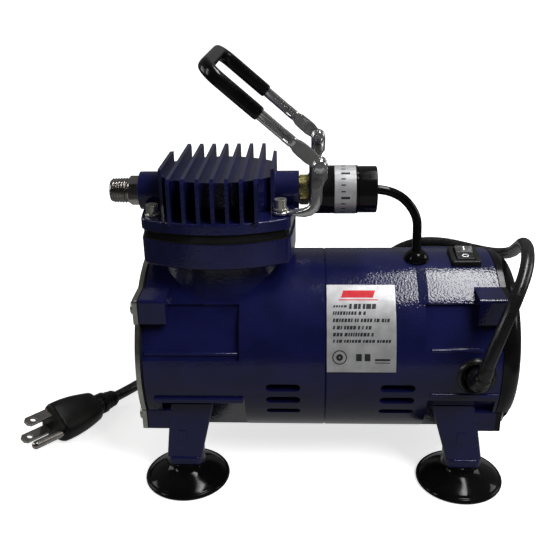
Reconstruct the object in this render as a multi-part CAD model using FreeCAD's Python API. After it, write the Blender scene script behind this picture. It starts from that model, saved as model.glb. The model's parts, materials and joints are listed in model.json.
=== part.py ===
import FreeCAD, Part
import math
import os

# Oil-less piston compressor for airbrushes. Millimetres.
# The motor and crank share one axis along X; the cylinder stands up from it near -X.
# Origin: on the floor, under the middle of the compressor. +Z is up, -Y is the front.

V = FreeCAD.Vector
X_DIR, Y_DIR, Z_DIR = V(1, 0, 0), V(0, 1, 0), V(0, 0, 1)

# ---- driving dimensions ---------------------------------------------------
AXIS_Z = 64.5            # height of the motor axis
BARREL_R = 48.0          # outside of both castings
INNER_R = 42.0           # inside of both castings
COVER_X = -87.6          # outer face of the crankcase cover
FRONT_X = -84.4          # open end of the front casting
PARTING_X = 6.7          # joint between the two castings
REAR_X = 92.9            # open end of the rear casting
DOME_X = 103.2           # tip of the rear end cover
CYL_X = -46.6            # cylinder axis
BORE_R = 16.0
STROKE = 16.0

HEAD_HALF_X = 38.2
HEAD_HALF_Y = 39.6
HEAD_CORNER_X = 36.0
HEAD_CORNER_Y = 29.5
HEAD_TOP = AXIS_Z + 77.4         # top of the head's flange
HEAD_FLANGE_T = 5.2
GASKET_T = 0.8
VALVE_PLATE_T = 3.6
DECK_T = 13.0                    # flange at the top of the cylinder stand
HEAD_Z = HEAD_TOP - HEAD_FLANGE_T
VALVE_Z = HEAD_Z - GASKET_T - VALVE_PLATE_T
DECK_Z = VALVE_Z - GASKET_T

FIN_COUNT = 9
FIN_PITCH = 6.84
FIN_T = 1.8
FIN_TOP = AXIS_Z + 98.6
FIN_HALF_Y = 38.4
END_FIN_HALF_Y = 22.3
PORT_Z = AXIS_Z + 82.85

SCREW_X = 31.3                   # head screws, from the cylinder axis
SCREW_Y = 24.0

HINGE_X = 3.4
HINGE_Y = 28.4
HINGE_Z = 168.0
HANDLE_LEAN = 41.0               # arms above the horizontal, towards -X
ARM_LENGTH = 70.3

CUP_Y = 39.6
CUP_LEFT_X = -66.4
CUP_RIGHT_X = 77.6
CUP_R = 22.5
PAD_Z = 12.0                     # underside of the legs' pads

ROCKER_X = 78.4
ROCKER_LEAN = 6.0                # degrees towards the front, about the motor axis
GROMMET_X = 53.8
GROMMET_LEAN = 8.0               # the cable's grommet leans the same way
GLAND_X = 80.3
GLAND_Z = 66.0

CORD_D = 6.4
SWITCH_CABLE_D = 4.7

SLEEVE_R = BORE_R + 2.5
BUSH_R = 8.0
BOLT_R = 2.1
STUD_R = 2.5
GLAND_STEM_R = 7.0


# ---- building blocks ------------------------------------------------------
def box(x0, x1, y0, y1, z0, z1):
    return Part.makeBox(x1 - x0, y1 - y0, z1 - z0, V(x0, y0, z0))


def rod_x(x0, x1, r, y=0.0, z=AXIS_Z):
    return Part.makeCylinder(r, x1 - x0, V(x0, y, z), X_DIR)


def rod_y(y0, y1, r, x, z):
    return Part.makeCylinder(r, y1 - y0, V(x, y0, z), Y_DIR)


def rod_z(z0, z1, r, x=CYL_X, y=0.0):
    return Part.makeCylinder(r, z1 - z0, V(x, y, z0), Z_DIR)


def ring_x(x0, x1, r_out, r_in, y=0.0, z=AXIS_Z):
    return rod_x(x0, x1, r_out, y, z).cut(rod_x(x0, x1, r_in, y, z))


def polygon(points):
    vectors = [V(*point) for point in points]
    return Part.makePolygon(vectors + [vectors[0]])


def prism(points, along):
    return Part.Face(polygon(points)).extrude(V(*along))


def hexagon_x(x0, x1, across_flats, z):
    radius = across_flats / math.sqrt(3.0)
    corners = []
    for i in range(6):
        angle = math.radians(60.0 * i + 20.0)
        corners.append((x0, radius * math.cos(angle), z + radius * math.sin(angle)))
    return prism(corners, (x1 - x0, 0, 0))


def hexagon_z(z0, z1, across_flats, x, y):
    radius = across_flats / math.sqrt(3.0)
    corners = []
    for i in range(6):
        angle = math.radians(60.0 * i)
        corners.append((x + radius * math.cos(angle), y + radius * math.sin(angle), z0))
    return prism(corners, (0, 0, z1 - z0))


def round_vertical(shape, radius):
    edges = []
    for edge in shape.Edges:
        ends = [vertex.Point for vertex in edge.Vertexes]
        if len(ends) == 2 and (ends[1] - ends[0]).cross(Z_DIR).Length < 0.001:
            edges.append(edge)
    return shape.makeFillet(radius, edges)


def soft_box(x0, x1, y0, y1, z0, z1, radius):
    block = box(x0, x1, y0, y1, z0, z1)
    return block.makeFillet(radius, block.Edges)


def round_level(shape, z, radius):
    """Rounds the edges that lie wholly at height z."""
    edges = [e for e in shape.Edges if all(abs(v.Z - z) < 0.001 for v in e.Vertexes)]
    return shape.makeFillet(radius, edges)


def group(solids):
    return Part.makeCompound(solids)


def turned(shape, degrees):
    """The shape turned about the motor axis; positive leans the top to the front."""
    copy = shape.copy()
    copy.rotate(V(0, 0, AXIS_Z), X_DIR, degrees)
    return copy


def arc_edge(a, b, c):
    return Part.Arc(V(*a), V(*b), V(*c)).toShape()


def bulged_plan(half_x, half_y, corner_x, corner_y, z0, height, corner_r):
    """A plate whose four sides bow outwards between rounded corners."""
    edges = [
        arc_edge((-corner_x, -corner_y, z0), (0, -half_y, z0), (corner_x, -corner_y, z0)),
        arc_edge((corner_x, -corner_y, z0), (half_x, 0, z0), (corner_x, corner_y, z0)),
        arc_edge((corner_x, corner_y, z0), (0, half_y, z0), (-corner_x, corner_y, z0)),
        arc_edge((-corner_x, corner_y, z0), (-half_x, 0, z0), (-corner_x, -corner_y, z0)),
    ]
    plate = Part.Face(Part.Wire(edges)).extrude(V(0, 0, height))
    plate = round_vertical(plate, corner_r)
    plate.translate(V(CYL_X, 0, 0))
    return plate


def head_plan(z0, height, inset=0.0):
    return bulged_plan(
        HEAD_HALF_X - inset, HEAD_HALF_Y - inset,
        HEAD_CORNER_X - inset, HEAD_CORNER_Y - inset,
        z0, height, 6.0,
    )


def head_screw_places():
    return [(CYL_X + sx * SCREW_X, sy * SCREW_Y) for sx in (-1, 1) for sy in (-1, 1)]


def swept_path(points):
    """Straight runs joined by arcs as large as the two runs beside each corner allow."""
    corners = [V(*point) for point in points]
    edges = []
    radii = []
    start = corners[0]
    for before, corner, after in zip(corners, corners[1:], corners[2:]):
        into = (corner - before).normalize()
        out = (after - corner).normalize()
        shorter = min((corner - before).Length, (after - corner).Length)
        half_turn = into.getAngle(out) / 2.0
        setback = 0.45 * shorter
        radii.append(setback / math.tan(half_turn))
        first = corner - into * setback
        last = corner + out * setback
        bisector = (out - into).normalize()
        centre = corner + bisector * (radii[-1] / math.cos(half_turn))
        middle = centre - bisector * radii[-1]
        edges.append(Part.LineSegment(start, first).toShape())
        edges.append(Part.Arc(first, middle, last).toShape())
        start = last
    edges.append(Part.LineSegment(start, corners[-1]).toShape())
    return Part.Wire(edges), radii


def swept_tube(points, diameter):
    path, radii = swept_path(points)
    direction = (V(*points[1]) - V(*points[0])).normalize()
    section = Part.Wire(Part.makeCircle(diameter / 2.0, V(*points[0]), direction))
    tube = path.makePipeShell([section], True, False)
    return tube, path.Length, radii


# ---- castings -------------------------------------------------------------
BOSS_LENGTH = 13.0
BOSS_Y = (27.0, 43.0)
BOSS_SCREW_Y = 36.0
LIP_Z = AXIS_Z - 12.0            # small ledge above each downward facet

# Each boss: side, lowest and highest z. The upper one behind the switch sits lower.
FRONT_BOSSES = [(-1, 91.0, 104.5), (1, 91.0, 104.5), (-1, 31.0, 43.5), (1, 31.0, 43.5)]
REAR_BOSSES = [(-1, 91.0, 105.0), (1, 87.0, 100.5), (-1, 31.0, 43.5), (1, 31.0, 43.5)]


def boss_blocks(x0, x1, bosses, radius=0.0):
    blocks = []
    for side, z0, z1 in bosses:
        y0, y1 = sorted((side * BOSS_Y[0], side * BOSS_Y[1]))
        block = box(x0, x1, y0, y1, z0, z1)
        if radius:
            lengthways = [e for e in block.Edges
                          if abs(e.Vertexes[0].X - e.Vertexes[-1].X) > 0.001
                          and abs(e.Vertexes[0].Y) > BOSS_Y[1] - 0.1]
            block = block.makeFillet(radius, lengthways)
        blocks.append(block)
    return blocks


def boss_screw_places(bosses):
    return [(side * BOSS_SCREW_Y, (z0 + z1) / 2.0) for side, z0, z1 in bosses]


def screw_holes(x0, x1, bosses):
    return [rod_x(x0, x1, 2.0, y, z) for y, z in boss_screw_places(bosses)]


def through_bolt_places():
    places = []
    for angle in (45, 135, 225, 315):
        turn = math.radians(angle)
        places.append((34.0 * math.cos(turn), AXIS_Z + 34.0 * math.sin(turn)))
    return places


def facet_cut(x0, x1, angle, distance, half_width, side):
    """A flat cut across the barrel whose outward normal is angle above the horizontal."""
    block = box(x0, x1, -distance - 12.0, -distance, AXIS_Z - half_width, AXIS_Z + half_width)
    block = turned(block, -angle)
    if side > 0:
        block = block.mirror(V(0, 0, 0), Y_DIR)
    return block


def vent_slots(x_middle):
    """Three rounded slots, one above another, through the front and back walls."""
    cutters = []
    for angle, height in ((-6.5, 4.4), (-16.0, 4.4), (-26.5, 3.6)):
        half = (17.2 - height) / 2.0
        slot = box(x_middle - half, x_middle + half, -60, -36, AXIS_Z - height / 2, AXIS_Z + height / 2)
        for x in (x_middle - half, x_middle + half):
            slot = slot.fuse(rod_y(-60, -36, height / 2, x, AXIS_Z))
        slot = turned(slot, -angle)
        cutters.append(slot)
        cutters.append(slot.mirror(V(0, 0, 0), Y_DIR))
    return cutters


def leg(x_top, x_bottom, side):
    """One tapered leg from the casting down to a rounded pad over its suction foot."""
    top_z, ankle_z = 46.0, 16.7
    y_top, y_bottom = (26.0, 42.5), (32.4, 46.6)
    wires = []
    for (xa, xb), (ya, yb), z in ((x_top, y_top, top_z), (x_bottom, y_bottom, ankle_z)):
        wires.append(polygon([
            (xa, side * ya, z), (xb, side * ya, z), (xb, side * yb, z), (xa, side * yb, z),
        ]))
    shaft = Part.makeLoft(wires, True, True)
    corners = [e for e in shaft.Edges if abs(e.Vertexes[0].Z - e.Vertexes[-1].Z) > 1.0]
    shaft = shaft.makeFillet(1.4, corners)
    middle = (x_bottom[0] + x_bottom[1]) / 2.0
    pad = box(middle - 9.0, middle + 9.0, -8.0, 8.0, PAD_Z, ankle_z)
    pad = round_vertical(pad, 3.0)
    pad = round_level(round_level(pad, ankle_z, 0.8), PAD_Z, 0.8)
    pad.translate(V(0, side * CUP_Y, 0))
    return shaft.fuse(pad)


def stud_holes(x):
    return [rod_z(PAD_Z - 1, 27.0, STUD_R, x, side * CUP_Y) for side in (-1, 1)]


def facets(x0, x1, side):
    """The two flats under the barrel's flank, below a narrow ledge."""
    return [
        facet_cut(x0, x1, -37.0, 44.7, 18.0, side),
        facet_cut(x0, x1, -72.0, 46.4, 14.0, side),
    ]


def ledge(x0, x1, z0, z1, side):
    y0, y1 = sorted((side * 42.0, side * 48.0))
    return soft_box(x0, x1, y0, y1, z0, z1, 0.6)


NECK_FOOT_Z = 97.0
CLAMP_SCREW_R = 1.7              # the four screws through the head


def neck():
    """Round stand that flares from the crankcase up to the cylinder's flange."""
    top = DECK_Z - DECK_T + 4.0
    outline = Part.Wire([
        Part.LineSegment(V(0, 0, NECK_FOOT_Z), V(0, 0, top)).toShape(),
        Part.LineSegment(V(0, 0, top), V(31.0, 0, top)).toShape(),
        arc_edge((31.0, 0, top), (31.5, 0, 108.0), (33.6, 0, NECK_FOOT_Z)),
        Part.LineSegment(V(33.6, 0, NECK_FOOT_Z), V(0, 0, NECK_FOOT_Z)).toShape(),
    ])
    stand = Part.Face(outline).revolve(V(0, 0, 0), Z_DIR, 360)
    stand.translate(V(CYL_X, 0, 0))
    return stand.common(box(FRONT_X, CYL_X + 60, -60, 60, 80, 140))


def front_housing():
    """Crankcase, cylinder stand and the front half of the motor shell."""
    body = rod_x(FRONT_X, PARTING_X, BARREL_R)
    body = body.makeChamfer(0.5, [body.Edges[0], body.Edges[2]])
    deck = round_level(head_plan(DECK_Z - DECK_T, DECK_T), DECK_Z - DECK_T, 1.6)
    pieces = [neck(), deck]
    pieces += boss_blocks(FRONT_X, FRONT_X + BOSS_LENGTH, FRONT_BOSSES, 1.5)
    for side in (-1, 1):
        recess = facet_cut(FRONT_X - 1, -36.0, 28.0, 44.5, 14.0, side)
        body = body.cut(group([recess] + facets(FRONT_X + 8, -34.0, side)))
        pieces.append(ledge(FRONT_X + 4.5, -34.5, LIP_Z - 2.6, LIP_Z + 0.2, side))
        pieces.append(leg((-72.8, -50.5), (-75.5, -57.3), side))
    body = body.multiFuse(pieces)
    cuts = [
        rod_x(FRONT_X - 1, -29.0, INNER_R),
        rod_x(-25.0, PARTING_X + 1, INNER_R),
        rod_z(AXIS_Z + 20, DECK_Z + 1, SLEEVE_R),
    ]
    cuts += vent_slots(-14.5)
    cuts += stud_holes(CUP_LEFT_X)
    cuts += screw_holes(FRONT_X - 1, FRONT_X + 11, FRONT_BOSSES)
    for x, y in head_screw_places():
        cuts.append(rod_z(DECK_Z - 11, DECK_Z + 1, CLAMP_SCREW_R, x, y))
    hub = rod_x(-33.0, -21.0, 12.0)
    holes = [rod_x(-34.0, -20.0, BUSH_R)]
    for y, z in through_bolt_places():
        holes.append(rod_x(-30.0, -20.0, BOLT_R, y, z))
    return body.cut(group(cuts)).fuse(hub).cut(group(holes)).removeSplitter()


def rear_housing():
    """Rear half of the motor shell, with the rear bearing wall."""
    body = rod_x(PARTING_X, REAR_X, BARREL_R)
    body = body.makeChamfer(0.5, [body.Edges[0], body.Edges[2]])
    pieces = boss_blocks(REAR_X - BOSS_LENGTH, REAR_X, REAR_BOSSES, 1.5)
    for side in (-1, 1):
        recess = facet_cut(55.5, REAR_X + 1, 32.5, 45.4, 12.0, side)
        body = body.cut(group([recess] + facets(57.5, REAR_X - 2, side)))
        pieces.append(ledge(58.4, REAR_X - 0.6, LIP_Z + 1.0, LIP_Z + 3.8, side))
        pieces.append(leg((60.5, 82.5), (68.9, 87.1), side))
    body = body.multiFuse(pieces)
    cuts = [
        rod_x(PARTING_X - 1, 69.0, INNER_R),
        rod_x(73.0, REAR_X + 1, INNER_R),
        turned(box(ROCKER_X - 6.4, ROCKER_X + 6.4, -7.8, 7.8, AXIS_Z + 30, AXIS_Z + 60), ROCKER_LEAN),
        turned(rod_z(AXIS_Z + 38, AXIS_Z + 60, 4.0, GROMMET_X, 0.0), GROMMET_LEAN),
        rod_y(-60, -36, GLAND_STEM_R, GLAND_X, GLAND_Z),
    ]
    for i in range(8):
        angle = math.radians(45.0 * i + 22.5)
        y = 27.0 * math.cos(angle)
        z = AXIS_Z + 27.0 * math.sin(angle)
        cuts.append(rod_x(60.0, 75.0, 5.0, y, z))
    cuts += vent_slots(42.4)
    cuts += stud_holes(CUP_RIGHT_X)
    cuts += screw_holes(REAR_X - 11, REAR_X + 1, REAR_BOSSES)
    hub = rod_x(64.0, 73.0, 12.0)
    holes = [rod_x(60.0, 75.0, BUSH_R)]
    for y, z in through_bolt_places():
        holes.append(rod_x(60.0, 75.0, BOLT_R, y, z))
    return body.cut(group(cuts)).fuse(hub).cut(group(holes)).removeSplitter()


def end_outline(x0, thickness, bosses):
    """Round plate with square ears over the casting's corner bosses."""
    plate = rod_x(x0, x0 + thickness, BARREL_R)
    return plate.multiFuse(boss_blocks(x0, x0 + thickness, bosses, 1.5)).removeSplitter()


COVER_GASKET_T = 0.8


def crankcase_gasket():
    plate = end_outline(FRONT_X - COVER_GASKET_T, COVER_GASKET_T, FRONT_BOSSES)
    plate = plate.cut(rod_x(FRONT_X - 1, FRONT_X + 1, INNER_R - 1))
    return plate.cut(group(screw_holes(FRONT_X - 2, FRONT_X + 2, FRONT_BOSSES)))


def crankcase_cover():
    """Flat cover with a pressed ring and a raised centre."""
    inner_face = FRONT_X - COVER_GASKET_T
    plate = end_outline(COVER_X, inner_face - COVER_X, FRONT_BOSSES)
    centre = rod_x(COVER_X - 1.2, COVER_X, 30.0)
    centre = centre.makeChamfer(0.8, [centre.Edges[2]])
    plate = plate.fuse(centre).cut(rod_x(COVER_X - 2, COVER_X - 0.3, 20.0))
    return plate.cut(group(screw_holes(COVER_X - 2, FRONT_X, FRONT_BOSSES))).removeSplitter()


SCREW_HEAD_R = 3.6


def cover_screw(x_face, direction, y, z):
    """Button-head screw whose head sits on x_face and whose shank runs along direction."""
    head = Part.makeCylinder(SCREW_HEAD_R, 2.2, V(x_face, y, z), V(-direction, 0, 0))
    rim = [e for e in head.Edges if len(e.Vertexes) == 1 and abs(e.Vertexes[0].X - x_face) > 1]
    head = head.makeFillet(1.2, rim)
    socket = Part.makeCylinder(1.4, 1.2, V(x_face - direction * 2.2, y, z), V(direction, 0, 0))
    shank = Part.makeCylinder(2.0, 11.0, V(x_face, y, z), V(direction, 0, 0))
    return head.cut(socket).fuse(shank).removeSplitter()


def cover_screws(x_face, direction, bosses):
    return group([cover_screw(x_face, direction, y, z) for y, z in boss_screw_places(bosses)])


REAR_FLANGE_T = 2.8


def rear_end_cover():
    """Domed plastic cover over the fan, with slots around its middle."""
    dome_x = REAR_X + REAR_FLANGE_T
    rim = end_outline(REAR_X, REAR_FLANGE_T, REAR_BOSSES)
    outline = Part.Wire([
        Part.LineSegment(V(dome_x - 1, 0, 0), V(dome_x - 1, 0, 46.6)).toShape(),
        Part.LineSegment(V(dome_x - 1, 0, 46.6), V(dome_x, 0, 46.6)).toShape(),
        arc_edge((dome_x, 0, 46.6), (dome_x + 5.4, 0, 44.0), (DOME_X, 0, 37.5)),
        Part.LineSegment(V(DOME_X, 0, 37.5), V(DOME_X, 0, 0)).toShape(),
        Part.LineSegment(V(DOME_X, 0, 0), V(dome_x - 1, 0, 0)).toShape(),
    ])
    dome = Part.Face(outline).revolve(V(0, 0, 0), X_DIR, 360)
    dome.translate(V(0, 0, AXIS_Z))
    shell = rim.fuse(dome)
    hollow = Part.makeCone(INNER_R, 35.5, DOME_X - 2.2 - REAR_X + 1, V(REAR_X - 1, 0, AXIS_Z), X_DIR)
    cuts = [hollow]
    for i in range(12):
        slot = box(DOME_X - 6, DOME_X + 2, -1.8, 1.8, AXIS_Z + 16, AXIS_Z + 31)
        slot.rotate(V(0, 0, AXIS_Z), X_DIR, 30.0 * i)
        cuts.append(slot)
    cuts += screw_holes(REAR_X - 2, DOME_X + 2, REAR_BOSSES)
    for y, z in boss_screw_places(REAR_BOSSES):
        cuts.append(rod_x(dome_x, DOME_X + 2, SCREW_HEAD_R + 0.8, y, z))
    return shell.cut(group(cuts)).removeSplitter()


# ---- pump -----------------------------------------------------------------
def cylinder_sleeve():
    return rod_z(AXIS_Z + 28, DECK_Z, SLEEVE_R).cut(rod_z(AXIS_Z + 27, DECK_Z + 1, BORE_R))


def plate_with_holes(plate):
    holes = [rod_z(DECK_Z - 5, HEAD_TOP + 5, CLAMP_SCREW_R, x, y) for x, y in head_screw_places()]
    return plate.cut(group(holes))


def cylinder_gasket():
    plate = head_plan(DECK_Z, GASKET_T, 0.8)
    return plate_with_holes(plate).cut(rod_z(DECK_Z - 1, VALVE_Z + 1, BORE_R))


def valve_plate():
    plate = plate_with_holes(head_plan(VALVE_Z, VALVE_PLATE_T, 0.8))
    ports = [rod_z(VALVE_Z - 1, HEAD_Z + 1, 2.5, CYL_X + dx, 0) for dx in (-8, 8)]
    return plate.cut(group(ports))


def head_gasket():
    plate = plate_with_holes(head_plan(HEAD_Z - GASKET_T, GASKET_T, 0.8))
    return plate.cut(box(CYL_X - 20, CYL_X + 20, -14, 14, HEAD_Z - 2, HEAD_Z + 1))


def reed_valve(z0, x_port):
    """A thin spring-steel tongue over one port of the valve plate."""
    tongue = box(x_port - 3.5, x_port + 3.5, -4, 10, z0, z0 + 0.3)
    return tongue.fuse(rod_z(z0, z0 + 0.3, 3.5, x_port, -4)).removeSplitter()


PORT_LEFT_X = -87.6              # face of the outlet boss


def cylinder_head():
    body = round_level(head_plan(HEAD_Z, HEAD_FLANGE_T), HEAD_TOP, 0.8)
    block = bulged_plan(27.4, 26.5, 27.0, 15.0, HEAD_TOP - 1, FIN_TOP - 4.7 - HEAD_TOP + 1, 1.0)
    pieces = [block]
    for i in range(FIN_COUNT):
        x = CYL_X + (i - (FIN_COUNT - 1) / 2.0) * FIN_PITCH
        half = END_FIN_HALF_Y if i in (0, FIN_COUNT - 1) else FIN_HALF_Y
        fin = prism([
            (x - FIN_T / 2, -half, HEAD_TOP - 1), (x - FIN_T / 2, half, HEAD_TOP - 1),
            (x - FIN_T / 2, half, FIN_TOP - 2), (x - FIN_T / 2, half - 2, FIN_TOP),
            (x - FIN_T / 2, 2 - half, FIN_TOP), (x - FIN_T / 2, -half, FIN_TOP - 2),
        ], (FIN_T, 0, 0))
        pieces.append(fin)
    pieces.append(rod_x(PORT_LEFT_X, CYL_X, 9.7, 0, PORT_Z))
    pieces.append(rod_x(CYL_X, -6.6, 9.7, 0, PORT_Z))
    for x0, x1 in ((PORT_LEFT_X + 0.6, -77.3), (-17.1, -6.6)):
        pieces.append(box(x0, x1, -7.0, 7.0, HEAD_TOP - 1, PORT_Z))
    body = body.multiFuse(pieces)
    cuts = [
        box(CYL_X - 18, CYL_X - 1.5, -12, 12, HEAD_Z - 1, HEAD_Z + 16),
        box(CYL_X + 1.5, CYL_X + 18, -12, 12, HEAD_Z - 1, HEAD_Z + 16),
        rod_x(-91.0, CYL_X - 10, 4.0, 0, PORT_Z),
        rod_x(CYL_X + 10, -5.0, 4.0, 0, PORT_Z),
        rod_x(-91.0, -80.0, 5.5, 0, PORT_Z),
        rod_x(-16.0, -5.0, 5.5, 0, PORT_Z),
    ]
    for x, y in head_screw_places():
        cuts.append(rod_z(HEAD_Z - 1, HEAD_TOP + 1, CLAMP_SCREW_R, x, y))
        cuts.append(rod_z(HEAD_TOP, HEAD_TOP + 30, 6.4, x, y))
    return body.cut(group(cuts)).removeSplitter()


BRACKET_T = 2.4
WASHER_T = 1.0
WASHER_R = 3.8
CLAMP_HEAD_R = 3.0


def head_washers():
    washers = []
    for x, y in head_screw_places():
        z = HEAD_TOP + (BRACKET_T if x > CYL_X else 0.0)
        washer = rod_z(z, z + WASHER_T, WASHER_R, x, y)
        washers.append(washer.cut(rod_z(z - 1, z + 2, CLAMP_SCREW_R, x, y)))
    return group(washers)


def head_screws():
    """Socket-head screws that clamp the head, valve plate and brackets to the stand."""
    screws = []
    for x, y in head_screw_places():
        z = HEAD_TOP + WASHER_T + (BRACKET_T if x > CYL_X else 0.0)
        head = rod_z(z, z + 4.4, CLAMP_HEAD_R, x, y).cut(hexagon_z(z + 2.0, z + 5.0, 3.0, x, y))
        screws.append(head.fuse(rod_z(DECK_Z - 10.5, z, CLAMP_SCREW_R, x, y)).removeSplitter())
    return group(screws)


THREAD_R = 6.5


def outlet_fitting():
    """Steel nipple: a male pipe thread outside, a hex, and a shank in the head."""
    piece = rod_x(-103.2, -93.4, THREAD_R, 0, PORT_Z)
    piece = piece.fuse(hexagon_x(-93.4, PORT_LEFT_X, 13.4, PORT_Z))
    piece = piece.fuse(rod_x(PORT_LEFT_X, -80.0, 5.5, 0, PORT_Z))
    return piece.cut(rod_x(-104.0, -79.0, 1.9, 0, PORT_Z)).removeSplitter()


def switch_adapter():
    piece = rod_x(-16.0, -6.6, 5.5, 0, PORT_Z)
    piece = piece.fuse(hexagon_x(-6.6, -1.5, 13.4, PORT_Z))
    piece = piece.fuse(rod_x(-1.5, 6.0, 5.0, 0, PORT_Z))
    return piece.cut(rod_x(-17.0, 7.0, 1.9, 0, PORT_Z)).removeSplitter()


SWITCH_R = 12.2
SWITCH_X = (-1.5, 32.6)
BAND_X = (11.2, 21.9)


def pressure_switch_body():
    piece = rod_x(SWITCH_X[0], 23.0, SWITCH_R, 0, PORT_Z)
    piece = piece.cut(ring_x(BAND_X[0], BAND_X[1], SWITCH_R + 1, SWITCH_R - 0.6, 0, PORT_Z))
    cuts = [rod_x(SWITCH_X[0] - 1, 6.0, 5.0, 0, PORT_Z), rod_x(7.0, 24.0, 9.5, 0, PORT_Z)]
    return piece.cut(group(cuts)).removeSplitter()


def pressure_switch_band():
    return ring_x(BAND_X[0], BAND_X[1], SWITCH_R + 0.1, SWITCH_R - 0.6, 0, PORT_Z)


def switch_diaphragm():
    return rod_x(7.0, 8.2, 9.3, 0, PORT_Z)


def pressure_switch_cap():
    piece = rod_x(23.0, SWITCH_X[1], SWITCH_R - 0.4, 0, PORT_Z)
    piece = piece.fuse(ring_x(16.0, 23.0, 9.5, 8.0, 0, PORT_Z))
    cuts = [rod_x(15.0, 30.0, 8.0, 0, PORT_Z), rod_x(29.0, 34.0, SWITCH_CABLE_D / 2, 0, PORT_Z)]
    return piece.cut(group(cuts)).removeSplitter()


CABLE_BEND_R = 20.5


def switch_cable():
    """Lead from the pressure switch, in a quarter turn down to the grommet."""
    lean = math.atan2(BARREL_R * math.sin(math.radians(GROMMET_LEAN)),
                      PORT_Z - AXIS_Z - BARREL_R * math.cos(math.radians(GROMMET_LEAN)))
    down = V(0, -math.sin(lean), -math.cos(lean))
    start = V(30.0, 0, PORT_Z)
    bend_start = V(GROMMET_X - CABLE_BEND_R, 0, PORT_Z)
    centre = bend_start + down * CABLE_BEND_R
    middle = centre + (X_DIR - down) * (CABLE_BEND_R / math.sqrt(2.0))
    bend_end = centre + X_DIR * CABLE_BEND_R
    end = bend_end + down * 18.5
    path = Part.Wire([
        Part.LineSegment(start, bend_start).toShape(),
        Part.Arc(bend_start, middle, bend_end).toShape(),
        Part.LineSegment(bend_end, end).toShape(),
    ])
    section = Part.Wire(Part.makeCircle(SWITCH_CABLE_D / 2, start, X_DIR))
    tube = path.makePipeShell([section], True, False)
    print("switch cable: length %.1f, radius %.1f" % (path.Length, CABLE_BEND_R))
    return tube


def cable_grommet():
    """Rubber dome on the barrel with its stem in the casting."""
    outline = Part.Wire([
        Part.LineSegment(V(0, 0, 41.0), V(0, 0, 52.6)).toShape(),
        Part.LineSegment(V(0, 0, 52.6), V(3.4, 0, 52.6)).toShape(),
        arc_edge((3.4, 0, 52.6), (5.4, 0, 50.9), (6.3, 0, 47.2)),
        Part.LineSegment(V(6.3, 0, 47.2), V(3.95, 0, 47.2)).toShape(),
        Part.LineSegment(V(3.95, 0, 47.2), V(3.95, 0, 41.0)).toShape(),
        Part.LineSegment(V(3.95, 0, 41.0), V(0, 0, 41.0)).toShape(),
    ])
    dome = Part.Face(outline).revolve(V(0, 0, 0), Z_DIR, 360)
    dome.translate(V(GROMMET_X, 0, AXIS_Z))
    shell_only = rod_x(GROMMET_X - 20, GROMMET_X + 20, BARREL_R)
    shell_only = shell_only.cut(rod_z(AXIS_Z, AXIS_Z + 60, 4.0, GROMMET_X, 0))
    dome = turned(dome.cut(shell_only), GROMMET_LEAN)
    return dome.cut(switch_cable())


# ---- crank train ----------------------------------------------------------
ROD_X = (CYL_X - 2.6, CYL_X + 2.6)
CRANK_R = STROKE / 2.0
PISTON_TOP = DECK_Z - 0.8
SHAFT_R = 5.0
FIT = 0.05


def motor_shaft():
    return rod_x(-39.0, 90.0, SHAFT_R)


def crank_disc():
    """Counterweighted disc on the shaft's end, with the short crank pin."""
    disc = rod_x(-39.0, -34.5, 15.0).cut(box(-40, -34, -20, 20, AXIS_Z + 4, AXIS_Z + 20))
    disc = disc.fuse(rod_x(-39.0, -34.5, 8.5))
    disc = disc.fuse(rod_x(-39.0, -34.5, 5.0, 0, AXIS_Z + CRANK_R))
    disc = disc.cut(rod_x(-40, -34, SHAFT_R))
    pin = rod_x(-43.4, -39.0, 3.0, 0, AXIS_Z + CRANK_R)
    return disc.fuse(pin).removeSplitter()


def connecting_rod():
    """Rod of the wobble piston: its big end stands over the crank pin's end."""
    big_z = AXIS_Z + CRANK_R
    rod = rod_x(ROD_X[0], ROD_X[1], 9.0, 0, big_z)
    rod = rod.fuse(box(ROD_X[0], ROD_X[1], -4.5, 4.5, big_z + 5, PISTON_TOP - 9.0))
    return rod.cut(rod_x(ROD_X[0] - 1, ROD_X[1] + 1, 5.5, 0, big_z)).removeSplitter()


def crank_bearing():
    return ring_x(ROD_X[0], ROD_X[1], 5.5, 3.0, 0, AXIS_Z + CRANK_R)


def piston():
    return rod_z(PISTON_TOP - 9.0, PISTON_TOP, BORE_R - 0.4).cut(
        rod_z(PISTON_TOP - 4.5, PISTON_TOP - 2.5, BORE_R).cut(rod_z(PISTON_TOP - 5, PISTON_TOP, BORE_R - 2.0)))


def piston_cup():
    return rod_z(PISTON_TOP - 4.5, PISTON_TOP - 2.5, BORE_R - FIT).cut(
        rod_z(PISTON_TOP - 5, PISTON_TOP, BORE_R - 2.0))


# ---- motor ----------------------------------------------------------------
def through_bolts():
    bolts = []
    for y, z in through_bolt_places():
        bolt = rod_x(-32.0, 76.0, BOLT_R, y, z)
        heads = [rod_x(-32.0, -29.0, 3.8, y, z), rod_x(73.0, 76.0, 3.8, y, z)]
        bolts.append(bolt.multiFuse(heads).removeSplitter())
    return group(bolts)


STATOR_X = (8.0, 48.0)
ROTOR_R = 22.0


def stator_core():
    core = ring_x(STATOR_X[0], STATOR_X[1], INNER_R, ROTOR_R + 0.5)
    return core.cut(group([rod_x(0.0, 60.0, BOLT_R, y, z) for y, z in through_bolt_places()]))


def winding(x0, x1):
    return ring_x(x0, x1, 31.0, 24.0)


def rotor_core():
    return ring_x(STATOR_X[0], STATOR_X[1], ROTOR_R, SHAFT_R)


def bearing(x0, x1):
    return ring_x(x0, x1, BUSH_R, SHAFT_R + FIT)


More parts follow.
